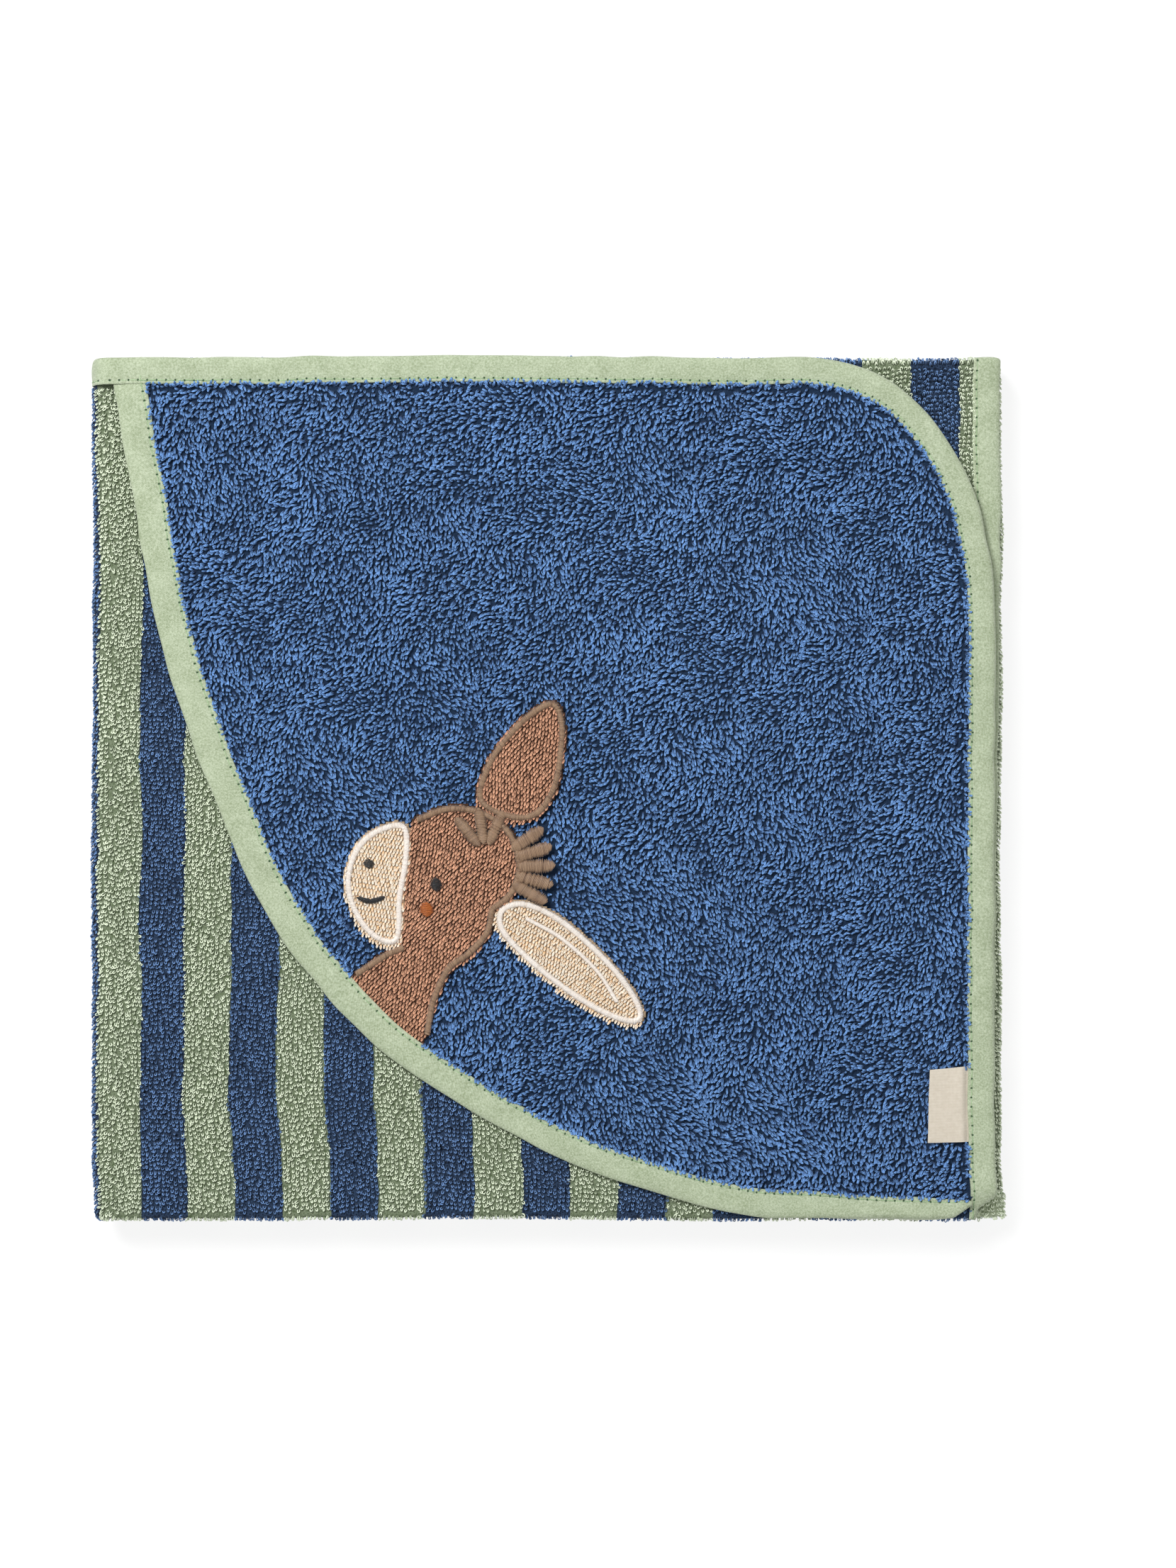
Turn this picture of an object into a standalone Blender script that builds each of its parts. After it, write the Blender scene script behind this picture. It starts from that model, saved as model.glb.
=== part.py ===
"""Hooded baby towel, folded in thirds both ways into a flat square packet.

The towel is one square of striped terry, edged all round with a bias binding, with a terry hood
sewn over one rounded corner and an appliqued donkey head on the hood.  It is folded first across
(edges A, B, C, lying one over the other) and then in three columns, so nine layers lie in the packet:

    hood third    top     levels 8 7 6  (A B C)
    middle third          levels 5 4 3  (C B A)
    base third    bottom  levels 2 1 0  (A B C)

Cloth places are worked out flat, as (x, v, w): x across the packet, v down the cloth from edge A
to edge C, and w the height off the cloth's middle surface.  Each column then lays them in space.
Units are metres, +Z is up, +Y points to edge A's fold side, and the origin is under the middle.
"""
import math

import bmesh
import bpy
import numpy as np

MM = 0.001

# Driving dimensions
CLOTH = 2.5 * MM                  # thickness of the terry
GAP = 0.3 * MM                    # air between touching pieces
PITCH = CLOTH + GAP               # one layer of the packet
LEFT_FOLD_X = -168.1 * MM         # axis of the fold between the hood third and the middle third
RIGHT_FOLD_X = 168.1 * MM         # axis of the fold between the middle third and the base third
BOTTOM_FOLD_Y = -164.0 * MM       # axis of the fold between layers A and B
TOP_FOLD_Y = 164.0 * MM           # axis of the fold between layers B and C
EDGE_A_Y = 166.4 * MM             # bound edge A, on top
EDGE_C_Y = -165.8 * MM            # bound edge C, underneath
HOOD_THIRD_EDGE_X = 172.3 * MM    # bound side of the hood third
BASE_THIRD_EDGE_X = -128.9 * MM   # bound side of the base third
INNER_LAYER_SLIP = 2.7 * MM       # how far layer B stands out past layer A at the top fold

BINDING_WIDTH = 10.5 * MM
TAPE = 0.5 * MM                   # thickness of the folded binding tape
TONGUE = 1.0 * MM                 # the terry pressed flat inside the binding
CORNER_X, CORNER_Y, CORNER_POWER = 80 * MM, 115 * MM, 2.4   # the rounded corners, as superellipses

HOOD_TIP_X = -149 * MM            # from here along edge A the binding holds the hood as well
HOOD_FOOT_Y = -150 * MM           # and down the side to here
LIFT_RUN = 7 * MM                 # length over which the binding thins again past those two places

THREAD = 0.5 * MM                 # sewing thread
STITCH_INSET = 9.0 * MM           # topstitch, from the binding's outer edge
PATCH = 1.2 * MM                  # thickness of an applique patch
SATIN = 1.4 * MM                  # thickness of satin stitch
SATIN_WIDTH = 2.2 * MM
DETAIL, DETAIL_WIDTH = 0.6 * MM, 1.4 * MM   # the small lines and dots on the patches

# Worked out from them
HALF = CLOTH / 2
RUN_A = EDGE_A_Y - BOTTOM_FOLD_Y
RUN_B = TOP_FOLD_Y - BOTTOM_FOLD_Y
RUN_C = TOP_FOLD_Y - EDGE_C_Y
ARC = math.pi * PITCH / 2
START_B = RUN_A + ARC
START_C = START_B + RUN_B + ARC
CLOTH_LENGTH = START_C + RUN_C
MARGIN_THIN = BINDING_WIDTH + GAP
MARGIN_THICK = MARGIN_THIN + GAP
TONGUE_INSET = TAPE + 3 * GAP
HOOD_THIRD_Z = HALF + 7 * PITCH   # middle height of each column's stack
MIDDLE_THIRD_Z = HALF + 4 * PITCH
BASE_THIRD_Z = HALF + PITCH
LEFT_FOLD_Z = HALF + 5.5 * PITCH
RIGHT_FOLD_Z = HALF + 2.5 * PITCH
HOOD_LIFT = CLOTH + GAP           # the hood's height over layer A, also inside the binding
LAYER_A_Z = HOOD_THIRD_Z + PITCH  # middle surface of the top layer
HOOD_TOP_Z = LAYER_A_Z + HOOD_LIFT + HALF

# The hood's free edge runs from the top left to the bottom right of the packet
HOOD_EDGE = [(-167.7, 156), (-161.9, 121.5), (-150.9, 60.6), (-131.5, 3.8), (-104.6, -54), (-67.9, -97.5),
             (-33.6, -122), (5, -143), (44, -156.5), (77, -163.5), (109, -165.4), (162, -162)]

for old in list(bpy.data.objects):
    bpy.data.objects.remove(old, do_unlink=True)

parts = bpy.data.collections.new("hooded_towel")
bpy.context.scene.collection.children.link(parts)


def material(name, color, roughness):
    made = bpy.data.materials.new(name)
    made.use_nodes = True
    shader = made.node_tree.nodes["Principled BSDF"]
    shader.inputs["Base Color"].default_value = (*color, 1)
    shader.inputs["Roughness"].default_value = roughness
    shader.inputs["Metallic"].default_value = 0
    return made


STRIPED_TERRY = material("striped_terry", (0.17, 0.27, 0.26), 0.95)
HOOD_TERRY = material("hood_terry", (0.05, 0.11, 0.24), 0.95)
BINDING = material("binding_cotton", (0.55, 0.66, 0.42), 0.85)
SEWING_THREAD = material("sewing_thread", (0.30, 0.45, 0.28), 0.6)
BROWN_TERRY = material("applique_brown_terry", (0.43, 0.21, 0.13), 0.95)
CREAM_TERRY = material("applique_cream_terry", (0.83, 0.70, 0.48), 0.95)
BROWN_SATIN = material("satin_thread_brown", (0.28, 0.17, 0.11), 0.45)
WHITE_SATIN = material("satin_thread_white", (0.90, 0.80, 0.72), 0.45)
BLACK_SATIN = material("satin_thread_black", (0.015, 0.02, 0.02), 0.45)
ORANGE_SATIN = material("satin_thread_orange", (0.46, 0.10, 0.01), 0.45)
LABEL_TAPE = material("label_tape", (0.73, 0.65, 0.52), 0.8)


# --- The folded cloth

def fold_across(v, w):
    """Lay a flat place (v, w) into the three layers A, B, C: returns y and height in the stack."""
    radius = PITCH / 2
    if v <= RUN_A:
        return EDGE_A_Y - v, PITCH + w
    if v < START_B:
        turn = (v - RUN_A) / radius
        return BOTTOM_FOLD_Y - (radius + w) * math.sin(turn), radius + (radius + w) * math.cos(turn)
    if v <= START_B + RUN_B:
        return BOTTOM_FOLD_Y + v - START_B, -w
    if v < START_C:
        turn = (v - START_B - RUN_B) / radius
        return TOP_FOLD_Y + (radius - w) * math.sin(turn), -radius + (radius - w) * math.cos(turn)
    return TOP_FOLD_Y - (v - START_C), w - PITCH


def hood_third(x, v, w):
    y, height = fold_across(v, w)
    return x, y, HOOD_THIRD_Z + height


def middle_third(x, v, w):
    y, height = fold_across(v, w)
    return x, y, MIDDLE_THIRD_Z - height


def base_third(x, v, w):
    y, height = fold_across(v, w)
    return x, y, BASE_THIRD_Z + height


def left_fold(turn, v, w):
    y, height = fold_across(v, w)
    radius = 1.5 * PITCH + height
    return LEFT_FOLD_X - radius * math.sin(turn), y, LEFT_FOLD_Z + radius * math.cos(turn)


def right_fold(turn, v, w):
    y, height = fold_across(v, w)
    radius = 1.5 * PITCH - height
    return RIGHT_FOLD_X + radius * math.sin(turn), y, RIGHT_FOLD_Z + radius * math.cos(turn)


def slip(v, side):
    """On the hood third (side 1), layer B stands out past layer A at the top, and layer C comes back in."""
    amount = np.interp(v, [START_B, START_B + RUN_B, START_C, CLOTH_LENGTH], [0, 1, 1, 0])
    return float(amount) * INNER_LAYER_SLIP if side > 0 else 0


def corner(inset, steps=14):
    """One rounded corner: distance from edge A, and how far the side edge draws back, per step."""
    fine = np.linspace(math.pi / 2, 0, 400)
    bend_x, bend_y = CORNER_X * np.cos(fine) ** (2 / CORNER_POWER), CORNER_Y * np.sin(fine) ** (2 / CORNER_POWER)
    reach = np.concatenate([[0], np.cumsum(np.hypot(np.diff(bend_x), np.diff(bend_y)))])
    angle = np.interp(np.linspace(0, reach[-1], steps), reach, fine)
    across, down = np.cos(angle) ** (2 / CORNER_POWER), np.sin(angle) ** (2 / CORNER_POWER)
    normal = np.stack([across ** (CORNER_POWER - 1) / CORNER_X, down ** (CORNER_POWER - 1) / CORNER_Y])
    normal /= np.hypot(*normal)
    from_edge = CORNER_Y * (1 - down) + inset * normal[1]
    drawn_back = CORNER_X * (1 - across) + inset * normal[0]
    return from_edge, drawn_back, normal


def drawn_back_at(v, inset):
    from_edge, drawn_back, _ = corner(inset, 60)
    return float(np.interp(min(v, CLOTH_LENGTH - v), from_edge, drawn_back))


# --- Mesh building

def sheet(name, skin, rows, thickness, thin=None, weights=None):
    """A cloth sheet: an open grid laid on the given rows of places, and given its thickness."""
    count, width = len(rows), len(rows[0])
    mesh = bpy.data.meshes.new(name)
    grid = bmesh.new()
    bmesh.ops.create_grid(grid, x_segments=width - 1, y_segments=count - 1, size=1)
    full = []
    for vertex in grid.verts:
        column = round((vertex.co.x + 1) / 2 * (width - 1))
        row = round((vertex.co.y + 1) / 2 * (count - 1))
        vertex.co = rows[row][column]
        if weights and weights[row][column]:
            full.append(vertex.index)
    grid.to_mesh(mesh)
    grid.free()
    mesh.materials.append(skin)
    piece = bpy.data.objects.new(name, mesh)
    parts.objects.link(piece)
    solid = piece.modifiers.new("thickness", "SOLIDIFY")
    solid.thickness = thickness
    solid.offset = 0
    solid.use_even_offset = True
    if weights:
        piece.vertex_groups.new(name="full_thickness").add(full, 1, "REPLACE")
        solid.vertex_group = "full_thickness"
        solid.thickness_vertex_group = thin / thickness
    return piece


def flat_curve(name, skin, loops, low_z, thickness):
    """A flat piece with one outline, or with an outline and a hole."""
    outline = bpy.data.curves.new(name, "CURVE")
    outline.dimensions = "2D"
    outline.fill_mode = "BOTH"
    outline.extrude = thickness / 2
    for loop in loops:
        spline = outline.splines.new("POLY")
        spline.points.add(len(loop) - 1)
        for point, (x, y) in zip(spline.points, loop):
            point.co = (x, y, 0, 1)
        spline.use_cyclic_u = True
    outline.materials.append(skin)
    piece = bpy.data.objects.new(name, outline)
    piece.location.z = low_z + thickness / 2
    parts.objects.link(piece)
    return piece


def thread(name, skin, places):
    line = bpy.data.curves.new(name, "CURVE")
    line.dimensions = "3D"
    line.bevel_depth = THREAD / 2
    line.bevel_resolution = 1
    line.use_fill_caps = True
    spline = line.splines.new("POLY")
    spline.points.add(len(places) - 1)
    for point, place in zip(spline.points, places):
        point.co = (*place, 1)
    line.materials.append(skin)
    piece = bpy.data.objects.new(name, line)
    parts.objects.link(piece)
    return piece


def smooth(points, steps, closed=False):
    """A Catmull-Rom curve through points given in millimetres, with so many steps a span."""
    given = np.array(points, float) * MM
    before, after = (given[-1], given[:2]) if closed else (2 * given[0] - given[1], [2 * given[-1] - given[-2]])
    knots = np.vstack([before, given, after])
    t = np.linspace(0, 1, steps, endpoint=False)[:, None]
    curve = []
    for a, b, c, d in zip(knots, knots[1:], knots[2:], knots[3:]):
        square, cube = 2 * a - 5 * b + 4 * c - d, 3 * b - a - 3 * c + d
        curve.append(0.5 * (2 * b + (c - a) * t + square * t ** 2 + cube * t ** 3))
    return np.vstack(curve if closed else curve + [given[-1:]])


def left_normals(path, closed=False):
    if closed:
        along = np.roll(path, -1, 0) - np.roll(path, 1, 0)
    else:
        along = np.gradient(path, axis=0)
    along /= np.linalg.norm(along, axis=1)[:, None]
    return np.stack([-along[:, 1], along[:, 0]], 1)


def beside(path, distance):
    """The same path, moved to its left."""
    return path + left_normals(path) * distance


def resample(path, count, start=0.0, end=1.0):
    """Evenly spaced places on a path, between two fractions of its length."""
    reach = np.concatenate([[0], np.cumsum(np.linalg.norm(np.diff(path, axis=0), axis=1))])
    at = np.linspace(start, end, count) * reach[-1]
    return np.stack([np.interp(at, reach, path[:, 0]), np.interp(at, reach, path[:, 1])], 1)


# --- The striped towel and its binding

TERRY_MARGIN = [TONGUE_INSET, 3 * MM, 6 * MM, MARGIN_THIN, MARGIN_THICK]
TERRY_CORNER = [float(v) for v in corner(0)[0] if v > MARGIN_THICK + 1 * MM]


def cloth_rows(corner_rows):
    near = TERRY_MARGIN + corner_rows
    arc_a = [RUN_A + ARC * i / 6 for i in range(7)]
    arc_b = [START_B + RUN_B + ARC * i / 6 for i in range(7)]
    return near + arc_a + arc_b + [CLOTH_LENGTH - v for v in reversed(near)]


def thick(v):
    return MARGIN_THICK - GAP / 10 < v < CLOTH_LENGTH - MARGIN_THICK + GAP / 10


def towel_third(name, place, fold_x, edge_x):
    """A third of the towel from a fold to its bound side, with both its corners rounded."""
    side = math.copysign(1, edge_x - fold_x)
    start = fold_x + side * GAP
    rows, weights = [], []
    for v in cloth_rows(TERRY_CORNER):
        outer = drawn_back_at(v, TONGUE_INSET)
        thin_from = max(drawn_back_at(v, MARGIN_THIN), outer + 1.5 * MM)
        thick_to = max(drawn_back_at(v, MARGIN_THICK), thin_from + GAP)
        out = edge_x + slip(v, side)
        across = [start] + [out - side * back for back in (thick_to, thin_from, outer)]
        rows.append([place(x, v, 0) for x in across])
        weights.append([thick(v), thick(v), False, False])
    return sheet(name, STRIPED_TERRY, rows, CLOTH, TONGUE, weights)


def towel_strip(name, place, stations):
    """Terry between two folds, or round one fold."""
    across = cloth_rows([])
    rows = [[place(s, v, 0) for s in stations] for v in across]
    return sheet(name, STRIPED_TERRY, rows, CLOTH, TONGUE, [[thick(v)] * len(stations) for v in across])


def binding_section(lift):
    """The folded tape from its upper inner edge round the cloth to its lower inner edge."""
    wall = HALF - TAPE / 2
    top = wall + lift * HOOD_LIFT
    nose, bend = TAPE / 2, 0.9 * MM
    return [(BINDING_WIDTH, top), (bend, top), (nose, top - 0.5 * MM), (nose, 0.5 * MM - wall),
            (bend, -wall), (BINDING_WIDTH, -wall)]


def bound_side(fold_x, edge_x):
    """The bound edge of a third, as (x, v, inward x, inward v) from edge A round to edge C."""
    side = math.copysign(1, edge_x - fold_x)
    from_edge, drawn_back, normal = corner(0)
    path = [(fold_x + side * GAP, 0, 0, 1)]
    if side > 0:
        path += [(x, 0, 0, 1) for x in (HOOD_TIP_X - LIFT_RUN, HOOD_TIP_X)]
    path += [(edge_x - side * b, e, -side * nx, nv) for e, b, (nx, nv) in zip(from_edge, drawn_back, normal.T)]
    near_fold = [EDGE_A_Y - HOOD_FOOT_Y, EDGE_A_Y - HOOD_FOOT_Y + LIFT_RUN]
    arcs = [RUN_A + ARC * i / 6 for i in range(7)] + [START_B + RUN_B + ARC * i / 6 for i in range(7)]
    for v in near_fold + arcs:
        path.append((edge_x + slip(v, side), v, -side, 0))
    for e, b, (nx, nv) in reversed(list(zip(from_edge, drawn_back, normal.T))):
        v = CLOTH_LENGTH - e
        path.append((edge_x + slip(v, side) - side * b, v, -side * nx, -nv))
    return path + [(fold_x + side * GAP, CLOTH_LENGTH, 0, -1)]


def lift_at(x, v):
    """1 where the binding also holds the hood, 0 elsewhere."""
    along_top = np.interp(x, [HOOD_TIP_X - LIFT_RUN, HOOD_TIP_X], [0, 1])
    past_foot = v - (EDGE_A_Y - HOOD_FOOT_Y)
    return float(along_top * np.interp(past_foot, [0, LIFT_RUN], [1, 0]))


def binding_third(name, place, fold_x, edge_x, holds_hood):
    rows = []
    for x, v, inward_x, inward_v in bound_side(fold_x, edge_x):
        lift = lift_at(x, v) if holds_hood else 0
        rows.append([place(x + inward_x * s, v + inward_v * s, w) for s, w in binding_section(lift)])
    return sheet(name, BINDING, rows, TAPE)


def binding_strip(name, place, stations, at_edge_c):
    rows = []
    for station in stations:
        section = binding_section(0)
        rows.append([place(station, CLOTH_LENGTH - s if at_edge_c else s, w) for s, w in section])
    return sheet(name, BINDING, rows, TAPE)


FOLD_TURNS = [math.pi * i / 8 for i in range(9)]
BETWEEN_FOLDS = [LEFT_FOLD_X + GAP, RIGHT_FOLD_X - GAP]

towel_third("towel_hood_third", hood_third, LEFT_FOLD_X, HOOD_THIRD_EDGE_X)
towel_strip("towel_left_fold", left_fold, FOLD_TURNS)
towel_strip("towel_middle_third", middle_third, BETWEEN_FOLDS)
towel_strip("towel_right_fold", right_fold, FOLD_TURNS)
towel_third("towel_base_third", base_third, RIGHT_FOLD_X, BASE_THIRD_EDGE_X)

binding_third("binding_hood_third", hood_third, LEFT_FOLD_X, HOOD_THIRD_EDGE_X, True)
binding_third("binding_base_third", base_third, RIGHT_FOLD_X, BASE_THIRD_EDGE_X, False)
for edge, at_edge_c in (("edge_a", False), ("edge_c", True)):
    binding_strip(f"binding_left_fold_{edge}", left_fold, FOLD_TURNS, at_edge_c)
    binding_strip(f"binding_middle_third_{edge}", middle_third, BETWEEN_FOLDS, at_edge_c)
    binding_strip(f"binding_right_fold_{edge}", right_fold, FOLD_TURNS, at_edge_c)


# --- The hood

HOOD_ROWS, HOOD_TAPE_ROWS, STITCH_POINTS = 28, 40, 36
HOOD_Z = LAYER_A_Z + HOOD_LIFT
STITCH_Z = HOOD_TOP_Z + GAP + THREAD / 2

free_edge = smooth(HOOD_EDGE, 12)
bound_edge = np.array([(x, EDGE_A_Y - v) for x, v, _, _ in bound_side(LEFT_FOLD_X, HOOD_THIRD_EDGE_X)
                       if v < EDGE_A_Y - HOOD_FOOT_Y and x >= HOOD_TIP_X] + [(HOOD_THIRD_EDGE_X, HOOD_FOOT_Y)])


def free_edge_at(inset, count, start=0.012, end=0.99):
    """Evenly spaced places along the hood's free edge, so far in from it."""
    return beside(resample(free_edge, count, start, end), inset)


def bound_edge_at(inset, count):
    """The same along the edge where the hood is bound to the towel."""
    return beside(resample(bound_edge, count), -inset)


hood_lines = [free_edge_at(inset, HOOD_ROWS) for inset in (TONGUE_INSET, MARGIN_THIN, MARGIN_THICK)]
hood_lines += [bound_edge_at(inset, HOOD_ROWS) for inset in (MARGIN_THICK, MARGIN_THIN, TONGUE_INSET)]
hood_rows = [[(*line[i], HOOD_Z) for line in hood_lines] for i in range(HOOD_ROWS)]
full_lines = [False, False, True, True, False, False]
sheet("hood_panel", HOOD_TERRY, hood_rows, CLOTH, TONGUE, [full_lines] * HOOD_ROWS)

tape_lines = [(free_edge_at(s, HOOD_TAPE_ROWS, 0.009, 0.992), HOOD_Z + w) for s, w in binding_section(0)]
tape_rows = [[(*line[i], z) for line, z in tape_lines] for i in range(HOOD_TAPE_ROWS)]
sheet("binding_hood_edge", BINDING, tape_rows, TAPE)

for name, line in (("topstitch_hood_edge", free_edge_at(STITCH_INSET, STITCH_POINTS)),
                   ("topstitch_hood_third", bound_edge_at(STITCH_INSET, STITCH_POINTS))):
    thread(name, SEWING_THREAD, [(x, y, STITCH_Z) for x, y in line])


# --- The label, a plain woven tab held in the side seam

LABEL_WIDTH, LABEL_HEIGHT, LABEL_THICKNESS = 14 * MM, 29 * MM, 0.4 * MM
LABEL_SEAM_X = HOOD_THIRD_EDGE_X - MARGIN_THICK - GAP
LABEL_TOP_Y = -107 * MM
flat_curve("woven_label", LABEL_TAPE,
           [[(LABEL_SEAM_X, LABEL_TOP_Y), (LABEL_SEAM_X - LABEL_WIDTH, LABEL_TOP_Y - 1 * MM),
             (LABEL_SEAM_X - LABEL_WIDTH - 1 * MM, LABEL_TOP_Y - LABEL_HEIGHT),
             (LABEL_SEAM_X, LABEL_TOP_Y - LABEL_HEIGHT)]], HOOD_TOP_Z + GAP, LABEL_THICKNESS)


# --- The applique: a donkey's head in profile, looking to the left

MUZZLE = [(-55, -15.5), (-64, -16), (-72, -22), (-76, -32), (-75.5, -43), (-71, -52), (-64, -58),
          (-57.5, -58), (-57, -44), (-54.5, -29)]
HEAD_TO_EAR = [(-50, -12.5), (-38, -8.5), (-25, -10), (-14.5, -18), (-10.5, -31), (-14, -41), (-21.5, -47)]
EAR_TO_CHEST = [(-21.5, -47), (-23, -56), (-30, -64), (-38, -70), (-43.5, -82), (-46, -95)]
THROAT = [(-55, -61.5), (-62, -64.5), (-73.5, -71.5)]
NECK_END = [(-46, -95), (-60, -84.5), (-73.5, -71.5)]
HEAD_FRONT = [(-55, -61.5), (-54, -44), (-51.5, -29), (-50, -12.5)]
UPRIGHT_EAR = [(-25.5, -5), (-22, 9), (-12, 23), (-1, 31.5), (4, 30), (5.5, 18), (3.5, 3), (-3, -9),
               (-13, -11.5)]
DROOPING_EAR = [(-17.5, -47.5), (-9, -45), (4, -50.5), (18, -61.5), (30, -75), (36, -86), (32.5, -89.5),
                (19, -84.5), (2, -73.5), (-11, -62), (-17.5, -54)]
EAR_LINING = [(-8, -50.5), (6, -58), (19, -70), (27, -82)]
APPLIQUE_Z = HOOD_TOP_Z + GAP
ON_PATCH_Z = APPLIQUE_Z + PATCH + GAP
RING = SATIN_WIDTH / 2


def inset_loop(loop, distance):
    """A closed outline drawn in by a distance, or let out by a negative one."""
    area = np.sum(loop[:, 0] * np.roll(loop[:, 1], -1) - np.roll(loop[:, 0], -1) * loop[:, 1])
    return loop + left_normals(loop, closed=True) * distance * math.copysign(1, area)


def stroke(path, width):
    """The outline of a band of satin stitch laid along an open path."""
    return np.vstack([beside(path, width / 2), beside(path, -width / 2)[::-1]])


def edged_patch(name, satin_name, points, cloth, satin):
    outline = smooth(points, 4, closed=True)
    flat_curve(name, cloth, [inset_loop(outline, RING + GAP)], APPLIQUE_Z, PATCH)
    flat_curve(satin_name, satin, [inset_loop(outline, -RING), inset_loop(outline, RING)], APPLIQUE_Z, SATIN)


def capsule(start, end, width):
    """A tuft: a band with round ends."""
    start, end = np.array(start) * MM, np.array(end) * MM
    along = (end - start) / np.linalg.norm(end - start)
    heading = math.atan2(along[1], along[0])
    loop = []
    for centre, first in ((end, heading - math.pi / 2), (start, heading + math.pi / 2)):
        for i in range(5):
            angle = first + math.pi * i / 4
            loop.append(centre + width / 2 * np.array([math.cos(angle), math.sin(angle)]))
    return loop


edged_patch("applique_muzzle", "satin_muzzle_outline", MUZZLE, CREAM_TERRY, WHITE_SATIN)
edged_patch("applique_upright_ear", "satin_upright_ear_outline", UPRIGHT_EAR, BROWN_TERRY, BROWN_SATIN)
edged_patch("applique_drooping_ear", "satin_drooping_ear_outline", DROOPING_EAR, CREAM_TERRY, WHITE_SATIN)

crown, throat = np.vstack([smooth(HEAD_TO_EAR, 4), smooth(EAR_TO_CHEST, 4)[1:]]), smooth(THROAT, 4)
head = np.vstack([beside(crown, -RING - GAP), smooth(NECK_END, 3)[1:-1], beside(throat, RING + GAP)[::-1],
                  smooth(HEAD_FRONT, 4)[1:-1]])
flat_curve("applique_head", BROWN_TERRY, [head], APPLIQUE_Z, PATCH)
flat_curve("satin_head_outline", BROWN_SATIN, [stroke(crown, SATIN_WIDTH)], APPLIQUE_Z, SATIN)
flat_curve("satin_throat_outline", BROWN_SATIN, [stroke(throat, SATIN_WIDTH)], APPLIQUE_Z, SATIN)
flat_curve("satin_ear_lining", WHITE_SATIN, [stroke(smooth(EAR_LINING, 4), DETAIL_WIDTH)], ON_PATCH_Z, DETAIL)



def tufts(name, centre, degrees, root, tip, width, low_z, thickness):
    """A fan of satin tufts, from root to tip along rays from a centre, all in millimetres."""
    for number, angle in enumerate(np.radians(degrees)):
        ray = np.array([math.cos(angle), math.sin(angle)])
        tuft = capsule(centre + ray * root, centre + ray * tip, width * MM)
        flat_curve(f"{name}_{number + 1}", BROWN_SATIN, [tuft], low_z, thickness)


def dot(name, skin, x, y, radius_x, radius_y):
    angles = [2 * math.pi * i / 12 for i in range(12)]
    loop = [((x + radius_x * math.cos(a)) * MM, (y + radius_y * math.sin(a)) * MM) for a in angles]
    flat_curve(name, skin, [loop], ON_PATCH_Z, DETAIL)


tufts("mane_tuft", (-24, -31), (34, 18, 2, -14, -29), 17.5, 24, 3, APPLIQUE_Z, SATIN)
tufts("forelock_tuft", (-24, -25), (130, 98, 66), 5.5, 11, 2.4, ON_PATCH_Z, DETAIL)
dot("embroidered_eye", BLACK_SATIN, -42.5, -37.5, 1.9, 2.2)
dot("embroidered_nostril", BLACK_SATIN, -68.5, -29, 1.5, 1.3)
dot("embroidered_cheek", ORANGE_SATIN, -46.5, -47, 2.6, 2.6)
mouth = smooth([(-73, -42), (-68, -43.5), (-62.5, -42)], 3)
flat_curve("embroidered_mouth", BLACK_SATIN, [stroke(mouth, DETAIL_WIDTH)], ON_PATCH_Z, DETAIL)


# --- Joints: each moving group hangs on an empty that stands on its axis

def hang(axis_name, place, parent, belongs):
    axis = bpy.data.objects.new(axis_name, None)
    axis.location = place
    parts.objects.link(axis)
    if parent:
        attach(axis, parent)
    for piece in [p for p in parts.objects if p.type != "EMPTY" and not p.parent and belongs(p.name)]:
        attach(piece, axis)
    return axis


def attach(child, parent):
    bpy.context.view_layer.update()
    child.parent = parent
    child.matrix_parent_inverse = parent.matrix_world.inverted()


ON_HOOD_THIRD = ("hood", "applique", "satin", "embroidered", "tuft")
right_axis = hang("right_fold_axis", (RIGHT_FOLD_X, 0, RIGHT_FOLD_Z), None,
                  lambda name: "middle_third" in name or "left_fold" in name)
left_axis = hang("left_fold_axis", (LEFT_FOLD_X, 0, LEFT_FOLD_Z), right_axis,
                 lambda name: any(word in name for word in ON_HOOD_THIRD))
hang("label_seam_axis", (LABEL_SEAM_X, LABEL_TOP_Y, HOOD_TOP_Z + GAP + LABEL_THICKNESS), left_axis,
     lambda name: name == "woven_label")
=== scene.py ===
"""Looks for the folded hooded baby towel: terry loops, bound edges, applique, satin stitch and label.

Cloth places are worked out flat, as (s, v, w): s across the packet, v down the cloth from edge A to
edge C, w the height off the cloth's middle surface.  lay() folds them into the packet, as in the CAD
model.  Everything is in metres.
"""

import math

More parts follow.
